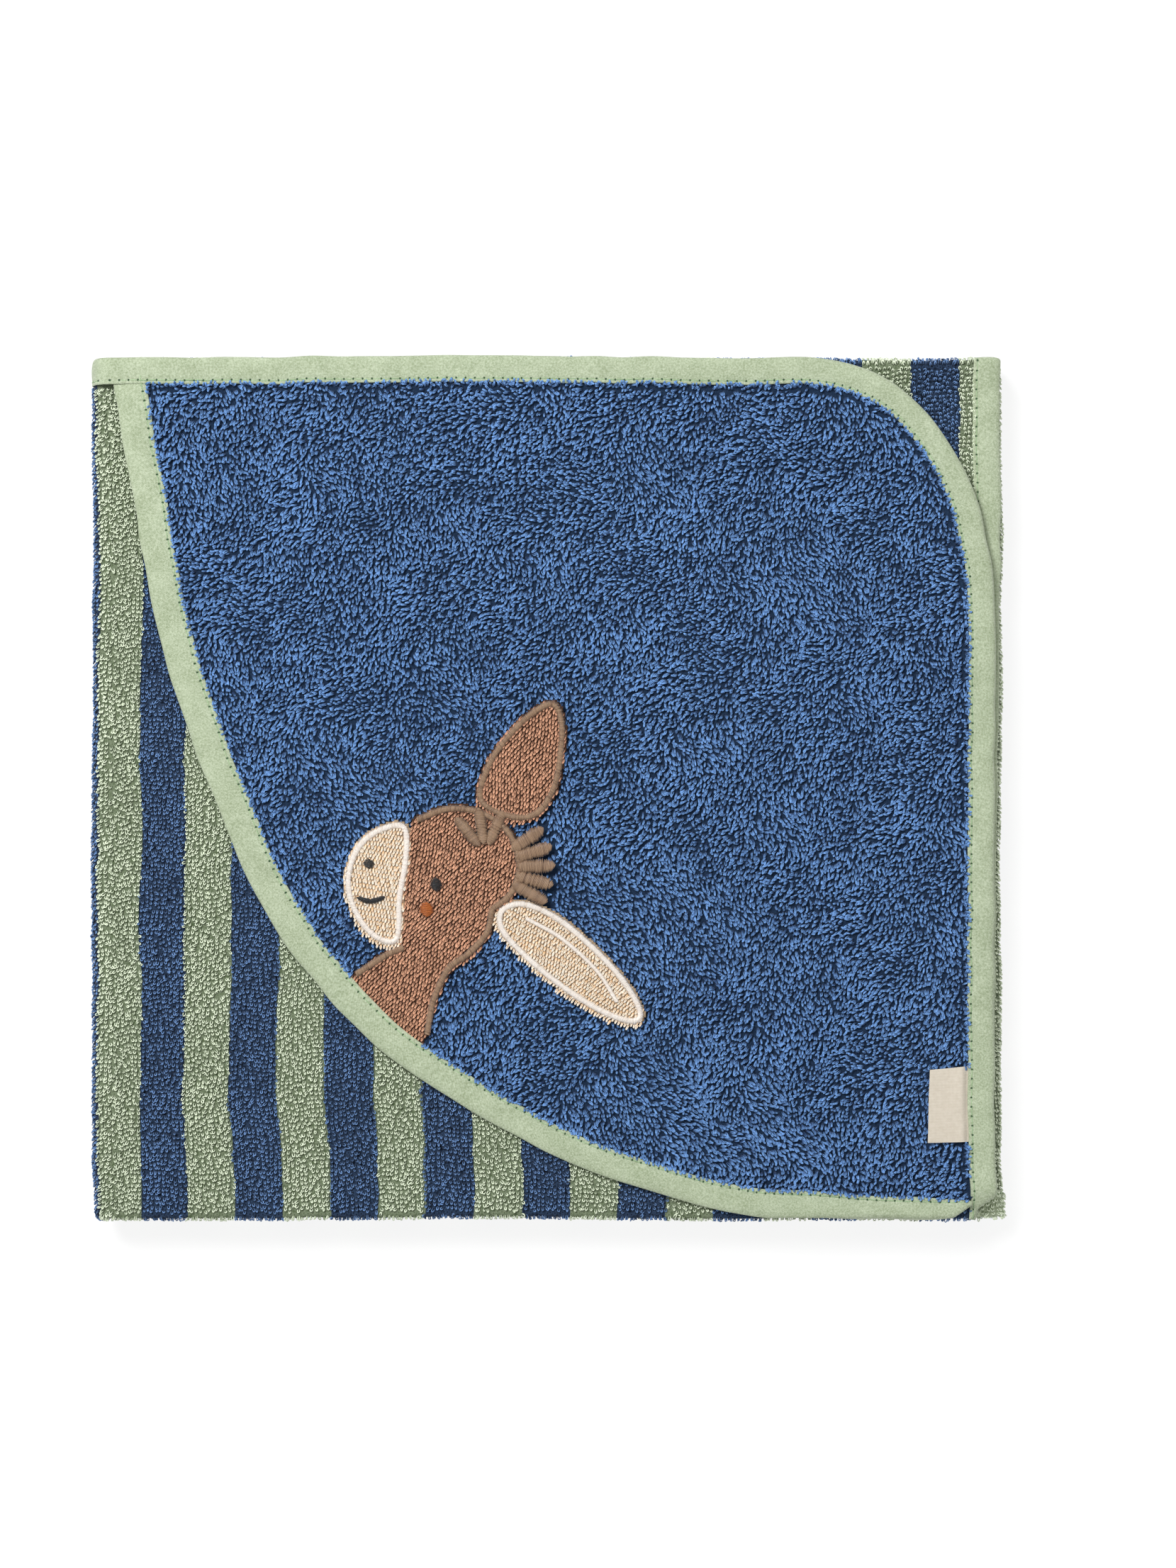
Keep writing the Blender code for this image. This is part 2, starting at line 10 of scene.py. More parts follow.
import bpy
import numpy as np
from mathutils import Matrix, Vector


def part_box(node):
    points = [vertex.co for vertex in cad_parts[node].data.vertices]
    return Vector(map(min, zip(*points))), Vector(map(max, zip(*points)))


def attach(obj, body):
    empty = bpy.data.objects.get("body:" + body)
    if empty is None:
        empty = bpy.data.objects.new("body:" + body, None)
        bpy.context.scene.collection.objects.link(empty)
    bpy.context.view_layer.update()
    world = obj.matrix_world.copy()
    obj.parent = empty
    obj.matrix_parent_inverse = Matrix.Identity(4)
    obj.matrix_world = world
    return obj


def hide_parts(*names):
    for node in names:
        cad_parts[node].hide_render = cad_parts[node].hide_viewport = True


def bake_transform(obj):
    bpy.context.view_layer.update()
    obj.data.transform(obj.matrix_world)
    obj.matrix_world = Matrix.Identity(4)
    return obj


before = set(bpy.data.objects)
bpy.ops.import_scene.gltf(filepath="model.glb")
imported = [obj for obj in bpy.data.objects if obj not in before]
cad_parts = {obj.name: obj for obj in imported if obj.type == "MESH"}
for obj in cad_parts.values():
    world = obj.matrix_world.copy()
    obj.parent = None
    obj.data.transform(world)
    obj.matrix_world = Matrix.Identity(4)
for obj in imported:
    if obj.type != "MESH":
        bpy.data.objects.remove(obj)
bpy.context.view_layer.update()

MM = 0.001

# The folded cloth, as in the CAD model
CLOTH, GAP = 2.5 * MM, 0.3 * MM
PITCH = CLOTH + GAP
HALF = CLOTH / 2
LEFT_FOLD_X, RIGHT_FOLD_X = -168.1 * MM, 168.1 * MM
BOTTOM_FOLD_Y, TOP_FOLD_Y = -164.0 * MM, 164.0 * MM
EDGE_A_Y, EDGE_C_Y = 166.4 * MM, -165.8 * MM
HOOD_THIRD_EDGE_X, BASE_THIRD_EDGE_X = 172.3 * MM, -128.9 * MM
INNER_LAYER_SLIP = 2.7 * MM
BINDING_WIDTH = 10.5 * MM
MARGIN = BINDING_WIDTH + GAP
STITCH, STITCH_INSET = 3.6 * MM, 9.0 * MM  # the topstitch's length, and its place in from the edge
TONGUE_INSET = 1.4 * MM
CORNER_X, CORNER_Y, CORNER_POWER = 80 * MM, 115 * MM, 2.4
HOOD_TIP_X, HOOD_FOOT_Y, LIFT_RUN = -149 * MM, -150 * MM, 7 * MM
DROOP_Y = -165.2 * MM
FLOOR_CLEAR = 0.35 * MM            # height under which soft cloth is pressed up by the floor
RUN_A = EDGE_A_Y - BOTTOM_FOLD_Y
RUN_B = TOP_FOLD_Y - BOTTOM_FOLD_Y
RUN_C = TOP_FOLD_Y - EDGE_C_Y
ARC = math.pi * PITCH / 2
START_B = RUN_A + ARC
END_B = START_B + RUN_B
START_C = END_B + ARC
CLOTH_LENGTH = START_C + RUN_C
HOOD_THIRD_Z = HALF + 7 * PITCH
MIDDLE_THIRD_Z = HALF + 4 * PITCH
BASE_THIRD_Z = HALF + PITCH
LEFT_FOLD_Z = HALF + 5.5 * PITCH
RIGHT_FOLD_Z = HALF + 2.5 * PITCH
HOOD_LIFT = PITCH
LAYER_A_Z = HOOD_THIRD_Z + PITCH
HOOD_Z = LAYER_A_Z + HOOD_LIFT
HOOD_TOP_Z = HOOD_Z + HALF
FOLD_RADIUS = 2.5 * PITCH          # of the outermost layer round a fold
FOLD_RUN = 1.5 * PITCH * math.pi   # length of the middle layer round a fold
OUTER_RUN = math.pi * FOLD_RADIUS  # and of the outermost

HOOD_EDGE = [(-167.0, 156), (-161.3, 121.5), (-150.4, 60.6), (-131.3, 3.8), (-104.6, -54), (-67.9, -97.5),
             (-33.6, -122), (5, -143), (44, -156.5), (77, -163.9), (109, -166.4), (135, -168.4), (146, -168.3),
             (153, -166.6), (158.8, -163.2), (163.8, -159.6)]

# The terry
GROUND = 0.3 * MM                  # ground weave, off the middle surface, under modelled loops
PILE = 1.1 * MM                    # surface of the pile where it is only bump
STRIPE = 18.58 * MM
FIRST_STRIPE = -159.5 * MM
WALE, COURSE = 1.6 * MM, 1.65 * MM  # spacing of the striped loops across and down the cloth
YARN_RADIUS = 0.225 * MM
# the striped loops' sizes: mean, spread, least and most, in millimetres
LOOP_LENGTH, LOOP_WIDTH, LOOP_HEIGHT = (1.25, 0.2, 0.6, 1.9), (1.2, 0.14, 0.8, 1.6), (1.1, 0.16, 0.7, 1.6)
MOST_LOOPS = 3200                  # in one piece
SINK = 0.25 * MM                   # of the loops' feet, into the ground weave
INSIDE_TAPE = 0.35 * MM            # half the thickness of the ground cloth inside the binding
BARE_TINT = 0.28                   # of the pile where it is only bump; where modelled loops stand, the tint falls to 0 as painted shade under them


def srgb(r, g, b):
    """A colour picked as 0-255 numbers, as linear light."""
    return tuple((c / 255 / 12.92) if c <= 10 else ((c / 255 + 0.055) / 1.055) ** 2.4 for c in (r, g, b))


def noise(x, y, size, seed):
    """Smooth noise between -1 and 1."""
    lattice = np.random.default_rng(seed).uniform(-1, 1, (64, 64))
    grid_x, grid_y = np.asarray(x) / size, np.asarray(y) / size
    i, j = np.floor(grid_x).astype(int), np.floor(grid_y).astype(int)
    a, b = grid_x - i, grid_y - j
    a, b = a * a * (3 - 2 * a), b * b * (3 - 2 * b)
    low = lattice[i % 64, j % 64] * (1 - a) + lattice[(i + 1) % 64, j % 64] * a
    high = lattice[i % 64, (j + 1) % 64] * (1 - a) + lattice[(i + 1) % 64, (j + 1) % 64] * a
    return low * (1 - b) + high * b


def drawn(rng, count, mean, spread, least, most, more=0.0):
    """Sizes drawn at random round a mean, all given in millimetres, with more added before the limits."""
    return (rng.normal(mean, spread, count) + more).clip(least, most) * MM


def smoothstep(x, low, high):
    t = np.clip((x - low) / (high - low), 0, 1)
    return t * t * (3 - 2 * t)


# --- The folded cloth

def fold_across(v, w):
    radius = PITCH / 2
    at_bottom, at_top = (v - RUN_A) / radius, (v - END_B) / radius
    where = [v <= RUN_A, v < START_B, v <= END_B, v < START_C]
    y = np.select(where, [EDGE_A_Y - v, BOTTOM_FOLD_Y - (radius + w) * np.sin(at_bottom),
                          BOTTOM_FOLD_Y + v - START_B, TOP_FOLD_Y + (radius - w) * np.sin(at_top)],
                  TOP_FOLD_Y - (v - START_C))
    height = np.select(where, [PITCH + w, radius + (radius + w) * np.cos(at_bottom), -w,
                               -radius + (radius - w) * np.cos(at_top)], w - PITCH)
    return y, height


def soften(places):
    """The slight unevenness of soft cloth, the same for all that lies at one place."""
    x, y, z = places.T
    up = np.clip(z / HOOD_TOP_Z, 0, 1.2)
    rise = 0.55 * noise(x, y, 48 * MM, 1) + 0.3 * noise(x, y, 21 * MM, 2)
    new_z = z + up ** 3 * rise * MM
    sway_x = 0.7 * noise(y, z, 34 * MM, 3) + 0.35 * noise(y, z, 12 * MM, 4)
    sway_y = 0.7 * noise(x, z, 37 * MM, 5) + 0.35 * noise(x, z, 13 * MM, 6)
    new_x, new_y = x + sway_x * MM, y + sway_y * MM
    # the upper layers are drawn in and down at the lower right corner
    rolled = smoothstep(z, 16.9 * MM, 21 * MM) * smoothstep(-y, 156 * MM, 164 * MM)
    beyond = np.clip(x - 163.5 * MM, 0, None)
    new_x = new_x - 0.85 * rolled * beyond
    new_z = new_z - 0.12 * rolled * beyond
    # nothing goes below the floor
    new_z = np.where(new_z < FLOOR_CLEAR, FLOOR_CLEAR - 0.15 * (FLOOR_CLEAR - new_z), new_z)
    return np.stack([new_x, new_y, new_z], -1)


# the thirds: middle height, and which way up; the folds: side and axis
LAID = {"hood_third": (HOOD_THIRD_Z, 1), "middle_third": (MIDDLE_THIRD_Z, -1), "base_third": (BASE_THIRD_Z, 1)}
TURNED = {"left_fold": (-1, LEFT_FOLD_X, LEFT_FOLD_Z), "right_fold": (1, RIGHT_FOLD_X, RIGHT_FOLD_Z)}


def lay(kind):
    """The function that folds flat places of one piece of the cloth into the packet."""
    def placed(flat):
        s, v, w = flat.T
        if kind == "hood":
            # past the bottom edge of the packet, the hood's tape droops over it
            over = np.clip(DROOP_Y - v, 0, None)
            return soften(np.stack([s, v + 0.7 * over, HOOD_Z + w - 1.1 * over], -1))
        y, height = fold_across(v, w)
        if kind in LAID:
            level, up = LAID[kind]
            return soften(np.stack([s, y, level + up * height], -1))
        side, fold_x, fold_z = TURNED[kind]
        turn, radius = s / FOLD_RADIUS, 1.5 * PITCH - side * height
        return soften(np.stack([fold_x + side * radius * np.sin(turn), y, fold_z + radius * np.cos(turn)], -1))
    return placed


def slip(v):
    """On the hood third, layer B stands out past layer A at the top, and layer C comes back in."""
    return np.interp(v, [START_B, END_B, START_C, CLOTH_LENGTH], [0, 1, 1, 0]) * INNER_LAYER_SLIP


MIDDLE_END = 2 * LEFT_FOLD_X - FOLD_RUN - RIGHT_FOLD_X
ROUND = -1.5 * PITCH / FOLD_RADIUS
# where each piece starts across the opened cloth, from the packet's middle on the hood third, and its pace
ACROSS = {"hood_third": (0, 1), "left_fold": (LEFT_FOLD_X, ROUND),
          "middle_third": (2 * LEFT_FOLD_X - FOLD_RUN, -1), "right_fold": (MIDDLE_END, ROUND),
          "base_third": (MIDDLE_END - FOLD_RUN - RIGHT_FOLD_X, 1)}


def across_cloth(kind, s, v):
    start, pace = ACROSS[kind]
    return start + pace * (s - slip(v) * (kind == "hood_third"))


def from_across(kind, u, v):
    start, pace = ACROSS[kind]
    return (u - start) / pace + slip(v) * (kind == "hood_third")


def wander(u, v):
    """How far the knitted columns stray, and stretch round the folds."""
    stretch = -3.1 * MM * smoothstep(-u, 110 * MM, -LEFT_FOLD_X) - 3.8 * MM * smoothstep(-u, 200 * MM, 510 * MM)
    stretch = stretch - 1.4 * MM * smoothstep(-u, 159 * MM, -LEFT_FOLD_X)
    # the outermost layer runs further round a fold than the middle one
    for start in (LEFT_FOLD_X, MIDDLE_END):
        stretch = stretch - (FOLD_RADIUS / (1.5 * PITCH) - 1) * np.clip(start - u, 0, FOLD_RUN)
    # and at the lower right corner the cloth is drawn outwards
    corner = smoothstep(u, 120 * MM, 165 * MM) * smoothstep(v, RUN_A - 40 * MM, RUN_A)
    stretch = stretch - 8.5 * MM * corner * smoothstep(-v, -380 * MM, -345 * MM)
    return stretch + (1.1 * noise(u, v, 31 * MM, 7) + 0.35 * noise(u, v, 9 * MM, 8)) * MM


# --- Mesh building

def fill(data, key, values, kind=np.float32):
    data.foreach_set(key, np.ascontiguousarray(values, kind).ravel())


def new_mesh(name, verts, quads, skins, skin_of=None, uv=None, corner_uv=None, tint=None, ends=0):
    """A mesh of quads, facing outwards, the last ones its ends, which are shaded flat.

    uv holds one place per vertex, corner_uv four for each face.
    """
    a, b, c, d = (verts[quads[:, i]] for i in range(4))
    if np.einsum("ij,ij->", a, np.cross(b, c)) + np.einsum("ij,ij->", a, np.cross(c, d)) < 0:
        quads = quads[:, ::-1]
        corner_uv = None if corner_uv is None else corner_uv[:, ::-1]
    if ends:
        used, ends_of = np.unique(quads[-ends:], return_inverse=True)
        quads = np.concatenate([quads[:-ends], ends_of.reshape(-1, 4) + len(verts)])
        verts = np.concatenate([verts, verts[used]])
        uv = None if uv is None else np.concatenate([uv, uv[used]])
        tint = None if tint is None else np.concatenate([tint, tint[used]])
    mesh = bpy.data.meshes.new(name)
    mesh.vertices.add(len(verts))
    fill(mesh.vertices, "co", verts)
    mesh.loops.add(quads.size)
    fill(mesh.loops, "vertex_index", quads, np.int32)
    mesh.polygons.add(len(quads))
    fill(mesh.polygons, "loop_start", np.arange(0, quads.size, 4), np.int32)
    for skin in skins:
        mesh.materials.append(skin)
    if skin_of is not None:
        fill(mesh.polygons, "material_index", skin_of, np.int32)
    if uv is not None:
        fill(mesh.uv_layers.new(name="cloth").data, "uv", uv[quads])
    if corner_uv is not None:
        fill(mesh.uv_layers.new(name="OFBake").data, "uv", corner_uv)
    if tint is not None:
        fill(mesh.attributes.new("tint", "FLOAT", "POINT").data, "value", tint)
    mesh.update(calc_edges=True)
    piece = bpy.data.objects.new(name, mesh)
    bpy.context.scene.collection.objects.link(piece)
    return piece


def slab(name, place, s, v, upper, lower, skins, uv, tint=None):
    """A closed sheet over a grid of flat places, from lower to upper."""
    rows, columns = s.shape
    flat = np.concatenate([np.stack([s, v, w], -1).reshape(-1, 3) for w in (upper, lower)])
    top = np.arange(rows * columns).reshape(rows, columns)
    under = top + rows * columns

    def strip(first, second):
        return np.stack([first[:-1], first[1:], second[1:], second[:-1]], -1)

    faces = [np.stack([top[:-1, :-1], top[:-1, 1:], top[1:, 1:], top[1:, :-1]], -1).reshape(-1, 4),
             np.stack([under[:-1, :-1], under[1:, :-1], under[1:, 1:], under[:-1, 1:]], -1).reshape(-1, 4),
             strip(under[0], top[0]), strip(top[-1], under[-1]),
             strip(top[:, 0], under[:, 0]), strip(under[:, -1], top[:, -1])]
    return new_mesh(name, place(flat), np.concatenate(faces), skins, uv=np.tile(uv.reshape(-1, 2), (2, 1)),
                    tint=tint, ends=sum(len(part) for part in faces[2:]))


def tubes(name, place, lines, binormal, radius, skins, tint, skin_of=None):
    """Yarns: four-sided tubes with smooth shading, along lines of shape (yarns, points, 3)."""
    count, points, _ = lines.shape
    along = np.gradient(lines, axis=1)
    along /= np.linalg.norm(along, axis=2)[..., None]
    normal = np.cross(np.broadcast_to(binormal[:, None], lines.shape), along)
    normal /= np.linalg.norm(normal, axis=2)[..., None]
    other = np.cross(along, normal)
    turn = np.arange(4) * math.pi / 2 + math.pi / 4
    ring = np.cos(turn)[:, None] * normal[:, :, None] + np.sin(turn)[:, None] * other[:, :, None]
    rings = lines[:, :, None] + np.broadcast_to(radius, (count, points))[..., None, None] * ring
    grid = np.arange(count * points * 4).reshape(count, points, 4)
    beside_it = np.roll(grid, -1, 2)
    walls = np.stack([grid[:, :-1], beside_it[:, :-1], beside_it[:, 1:], grid[:, 1:]], -1).reshape(count, -1, 4)
    caps = np.stack([grid[:, 0, ::-1], grid[:, -1]], 1)
    quads = np.concatenate([walls, caps], 1)
    # every yarn has its own cell in the OFBake map
    cells = math.ceil(math.sqrt(count))
    step, side = np.meshgrid(np.arange(points - 1), np.arange(4), indexing="ij")
    wall_uv = np.stack([np.stack([step, step, step + 1, step + 1], -1) / (points - 1),
                        np.stack([side, side + 1, side + 1, side], -1) / 4], -1).reshape(-1, 4, 2)
    cap_uv = np.array([[(0, 0), (0, 0.1), (0.1, 0.1), (0.1, 0)], [(0.9, 0.9), (1, 0.9), (1, 1), (0.9, 1)]])
    cell_uv = 0.1 + 0.8 * np.concatenate([wall_uv, cap_uv])
    corner = np.stack([np.arange(count) % cells, np.arange(count) // cells], -1)
    uv = (corner[:, None, None] + cell_uv[None]) / cells
    faces_of = None if skin_of is None else np.repeat(skin_of, quads.shape[1])
    return new_mesh(name, place(rings.reshape(-1, 3)), quads.reshape(-1, 4), skins, skin_of=faces_of,
                    corner_uv=uv.reshape(-1, 4, 2), tint=np.repeat(tint.reshape(-1), 4))


def hairpins(s, v, ground, heading, length, width, height, roll, points, side=1, droop=0.2):
    """Centre lines of terry loops, which rise out of the ground, lean along their heading and come back."""
    t = np.linspace(0.03, 0.97, points)
    bow = np.sin(math.pi * t)
    shape = np.cos(math.pi * t) * (0.3 + 0.7 * bow ** 0.6)
    out = width[:, None] / 2 * shape
    ahead = length[:, None] * bow ** 1.1
    ground, droop = (np.reshape(value, (-1, 1)) for value in (ground, droop))
    up = ground - SINK + (height[:, None] + SINK) * bow ** 0.55 * (1 - droop * bow ** 6)
    ahead_s, ahead_v = np.cos(heading)[:, None], np.sin(heading)[:, None]
    level, tilt = np.cos(roll)[:, None], np.sin(roll)[:, None]
    lines = np.stack([s[:, None] + ahead * ahead_s - out * level * ahead_v,
                      v[:, None] + ahead * ahead_v + out * level * ahead_s,
                      side * (up + out * tilt * bow)], -1)
    forward = np.stack([np.cos(heading) * length, np.sin(heading) * length, side * height * 0.5], -1)
    sideways = np.stack([-np.sin(heading) * np.cos(roll), np.cos(heading) * np.cos(roll), side * np.sin(roll)], -1)
    binormal = np.cross(forward, sideways)
    binormal /= np.linalg.norm(binormal, axis=1)[:, None]
    return lines, binormal, bow


def in_parts(name, place, order, lines, binormal, radius, skins, tint, skin_of=None):
    """Loops as pieces of a few thousand each, taken in the given order."""
    parts = max(1, math.ceil(len(order) / MOST_LOOPS))
    pieces = []
    for number, chosen in enumerate(np.array_split(order, parts)):
        piece = tubes(name if parts == 1 else f"{name}_{number + 1}", place, lines[chosen], binormal[chosen],
                      radius, skins, tint[chosen], None if skin_of is None else skin_of[chosen])
        pieces.append(piece)
    return pieces


def smooth(points, steps, closed=False):
    """A Catmull-Rom curve through points given in millimetres, with so many steps a span."""
    given = np.array(points, float) * MM
    before, after = (given[-1], given[:2]) if closed else (2 * given[0] - given[1], [2 * given[-1] - given[-2]])
    knots = np.vstack([before, given, after])
    t = np.linspace(0, 1, steps, endpoint=False)[:, None]
    curve = []
    for a, b, c, d in zip(knots, knots[1:], knots[2:], knots[3:]):
        square, cube = 2 * a - 5 * b + 4 * c - d, 3 * b - a - 3 * c + d
        curve.append(0.5 * (2 * b + (c - a) * t + square * t ** 2 + cube * t ** 3))
    return np.vstack(curve if closed else curve + [given[-1:]])


def left_normals(path, closed=False):
    along = np.roll(path, -1, 0) - np.roll(path, 1, 0) if closed else np.gradient(path, axis=0)
    along /= np.linalg.norm(along, axis=1)[:, None]
    return np.stack([-along[:, 1], along[:, 0]], 1)


def beside(path, distance):
    return path + left_normals(path) * distance


def reach_of(path):
    return np.concatenate([[0], np.cumsum(np.linalg.norm(np.diff(path, axis=0), axis=1))])


def resample(path, count, start=0.0, end=1.0):
    reach = reach_of(path)
    at = np.linspace(start, end, count) * reach[-1]
    return np.stack([np.interp(at, reach, path[:, i]) for i in (0, 1)], 1)


def signed_area(loop):
    return np.sum(loop[:, 0] * np.roll(loop[:, 1], -1) - np.roll(loop[:, 0], -1) * loop[:, 1]) / 2


def let_out(loop, distance):
    """A closed outline made larger all round, or smaller by a negative distance."""
    return loop - left_normals(loop, closed=True) * distance * math.copysign(1, signed_area(loop))


def inside(points, loop):
    """Which points lie inside a closed outline."""
    x, y = points[:, :1], points[:, 1:]
    ax, ay = loop.T
    bx, by = np.roll(loop, -1, 0).T
    crosses = (ay > y) != (by > y)
    with np.errstate(divide="ignore", invalid="ignore"):
        hit = x < ax + (y - ay) * (bx - ax) / (by - ay)
    return np.count_nonzero(crosses & hit, 1) % 2 == 1


# --- Materials

class Nodes:
    """A material's node tree, with short calls for what the materials here share."""

    def __init__(self, name, roughness, sheen=0.0, specular=0.5):
        self.material = bpy.data.materials.new(name)
        self.material.use_nodes = True
        self.tree = self.material.node_tree
        self.shader = self.tree.nodes["Principled BSDF"]
        self.set(self.shader, "Roughness", roughness)
        self.set(self.shader, "Sheen Weight", sheen)
        self.set(self.shader, "Sheen Roughness", 0.5)
        self.set(self.shader, "Specular IOR Level", specular)

    def set(self, node, socket, value):
        node.inputs[socket].default_value = value

    def add(self, kind, **settings):
        node = self.tree.nodes.new(kind)
        for key, value in settings.items():
            setattr(node, key, value)
        return node

    def link(self, out, into):
        self.tree.links.new(out, into)

    def put(self, value, socket):
        if isinstance(value, (int, float)):
            socket.default_value = value
        else:
            self.link(value, socket)

    def math(self, operation, a, b=0.0, c=0.0, clamp=False):
        node = self.add("ShaderNodeMath", operation=operation, use_clamp=clamp)
        for value, socket in zip((a, b, c), node.inputs):
            self.put(value, socket)
        return node.outputs[0]

    def wave(self, along, period):
        turn = self.math("SINE", self.math("MULTIPLY", along, 2 * math.pi / period))
        return self.math("MULTIPLY_ADD", turn, 0.5, 0.5)

    def tint(self):
        return self.add("ShaderNodeAttribute", attribute_name="tint").outputs["Fac"]

    def cloth(self):
        uv = self.add("ShaderNodeUVMap", uv_map="cloth")
        split = self.add("ShaderNodeSeparateXYZ")
        self.link(uv.outputs[0], split.inputs[0])
        return uv.outputs[0], split.outputs[0], split.outputs[1]

    def noise(self, size, detail=2.0, vector=None):
        node = self.add("ShaderNodeTexNoise")
        self.set(node, "Scale", 1 / size)
        self.set(node, "Detail", detail)
        if vector is None:
            vector = self.add("ShaderNodeTexCoord").outputs["Object"]
        self.link(vector, node.inputs["Vector"])
        return node.outputs["Fac"]

    def mix(self, share, first, second):
        node = self.add("ShaderNodeMix", data_type="RGBA")
        self.put(share, node.inputs[0])
        for value, socket in ((first, node.inputs[6]), (second, node.inputs[7])):
            if isinstance(value, tuple):
                socket.default_value = (*value, 1)
            else:
                self.link(value, socket)
        return node.outputs[2]

    def colour(self, out, plain):
        self.set(self.shader, "Base Color", (*plain, 1))
        self.link(out, self.shader.inputs["Base Color"])

    def bump(self, height, distance, strength=1.0):
        node = self.add("ShaderNodeBump")
        self.set(node, "Distance", distance)
        self.set(node, "Strength", strength)
        self.link(height, node.inputs["Height"])
        self.link(node.outputs[0], self.shader.inputs["Normal"])


def yarn(name, dark, light, roughness=0.85, sheen=0.06, specular=0.2):
    """Spun yarn: each loop its own tone, painted darker towards its root as painted shade and lighter at its crest
    as a painted highlight, with a fibrous mottle.
    """
    n = Nodes(name, roughness, sheen, specular)
    mottle = n.noise(0.45 * MM)
    # the tint attribute carries painted shade at the loops' roots and a painted highlight at their crests
    share = n.math("ADD", n.math("MULTIPLY", n.tint(), 0.85),
                   n.math("MULTIPLY_ADD", mottle, 0.7, -0.3), clamp=True)
    n.colour(n.mix(share, dark, light), tuple((a + b) / 2 for a, b in zip(dark, light)))
    n.bump(mottle, 0.12 * MM, 0.6)
    return n.material


# for the terry yarns, the dark end goes to the loops' roots as painted shade and the light end to their crests as
# painted highlight, along with each loop's own tone
HOOD_DARK, HOOD_LIGHT = srgb(12, 36, 78), srgb(130, 178, 240)
BLUE_DARK, BLUE_LIGHT = srgb(5, 16, 38), srgb(120, 158, 212)
GREEN_DARK, GREEN_LIGHT = srgb(98, 116, 80), srgb(245, 255, 229)
BROWN_DARK, BROWN_LIGHT = srgb(54, 12, 2), srgb(255, 194, 158)
CREAM_DARK, CREAM_LIGHT = srgb(252, 202, 140), srgb(255, 250, 238)
TAPE_DARK, TAPE_LIGHT = srgb(134, 148, 114), srgb(198, 209, 182)


def scaled(colour, factor):
    return tuple(c * factor for c in colour)


def ground_weave(name, dark, light):
    """The weave between the loops, painted much darker than the yarn as painted shade under the pile."""
    n = Nodes(name, 0.95, 0.0, 0.1)
    weave = n.noise(0.6 * MM, 3.0)
    # both ends scaled down: painted shade between the loops
    n.colour(n.mix(weave, scaled(dark, 0.25), scaled(light, 0.12)), scaled(dark, 0.5))
    n.bump(weave, 0.3 * MM, 0.8)
    return n.material


def striped_terry():
    """Striped ground with the pile as bump and as painted shade between the loops and painted highlight on their
    crests, for the faces that lie inside the packet; it is darker still, as painted shade, where modelled loops
    stand on it.
    """
    n = Nodes("striped_terry_ground", 0.95, 0.1, 0.1)
    uv, across, _ = n.cloth()
    place = n.math("DIVIDE", n.math("SUBTRACT", across, FIRST_STRIPE), STRIPE)
    blue = n.math("LESS_THAN", n.math("FLOORED_MODULO", place, 2.0), 1.0)
    scale = n.add("ShaderNodeVectorMath", operation="MULTIPLY")
    n.link(uv, scale.inputs[0])
    scale.inputs[1].default_value = (1 / WALE, 1 / COURSE, 1)
    loops = n.add("ShaderNodeTexVoronoi", feature="SMOOTH_F1", voronoi_dimensions="2D")
    n.set(loops, "Scale", 1.0)
    n.set(loops, "Randomness", 0.45)
    n.link(scale.outputs[0], loops.inputs["Vector"])
    # lighter on the loops' crests and darker between them: painted highlight and painted shade
    off_crest = n.math("ABSOLUTE", n.math("MULTIPLY_ADD", loops.outputs["Distance"], 3.2, -1.0))
    crest = n.math("SUBTRACT", 1.0, off_crest, clamp=True)
    fuzz = n.noise(0.5 * MM, 3.0)
    share = n.math("MULTIPLY", crest, n.math("MULTIPLY_ADD", fuzz, 0.9, 0.5), clamp=True)
    # the tint darkens the ground under modelled loops: painted shade
    share = n.math("MULTIPLY", share, n.math("MULTIPLY_ADD", n.tint(), 0.85, 0.15))
    green = n.mix(share, scaled(GREEN_DARK, 0.6), GREEN_LIGHT)
    dark = n.mix(share, scaled(BLUE_DARK, 0.3), BLUE_LIGHT)
    n.colour(n.mix(blue, green, dark), scaled(GREEN_DARK, 0.7))
    n.bump(share, 0.9 * MM, 0.9)
    return n.material


def binding_cotton():
    """Fine twill tape: diagonal ribs, slight dyeing clouds, and the pinholes of the topstitch, painted dark as
    shade in the holes.
    """
    n = Nodes("binding_cotton", 0.8, 0.25, 0.25)
    _, along, inset = n.cloth()
    clouds = n.noise(9 * MM, 3.0)
    slub = n.noise(0.7 * MM, 2.0)
    across_rib = n.math("ADD", n.math("ADD", along, inset), n.math("MULTIPLY", slub, 0.12 * MM))
    rib = n.wave(across_rib, 0.62 * MM)
    weft = n.wave(n.math("SUBTRACT", along, inset), 0.41 * MM)
    weave = n.math("MULTIPLY_ADD", weft, 0.3, n.math("MULTIPLY", rib, 0.7))
    share = n.math("ADD", n.math("MULTIPLY", weave, 0.5),
                   n.math("MULTIPLY_ADD", clouds, 0.6, n.math("MULTIPLY_ADD", slub, 1.5, -0.8)), clamp=True)
    cloth = n.mix(share, TAPE_DARK, TAPE_LIGHT)
    to_hole = n.math("PINGPONG", along, STITCH / 2)
    to_row = n.math("SUBTRACT", inset, STITCH_INSET)
    distance = n.math("SQRT", n.math("ADD", n.math("MULTIPLY", to_hole, to_hole),
                                     n.math("MULTIPLY", to_row, to_row)))
    hole = n.math("SUBTRACT", 1.0, n.math("DIVIDE", distance, 0.5 * MM), clamp=True)
    hole = n.math("MULTIPLY", hole, 2.2, clamp=True)
    # the pinholes are painted dark: painted shade in the holes
    n.colour(n.mix(hole, cloth, srgb(46, 78, 46)), tuple((a + b) / 2 for a, b in zip(TAPE_DARK, TAPE_LIGHT)))
    n.bump(n.math("MULTIPLY_ADD", hole, -6.0, n.math("MULTIPLY_ADD", slub, 0.6, weave)), 0.06 * MM, 0.8)
    return n.material


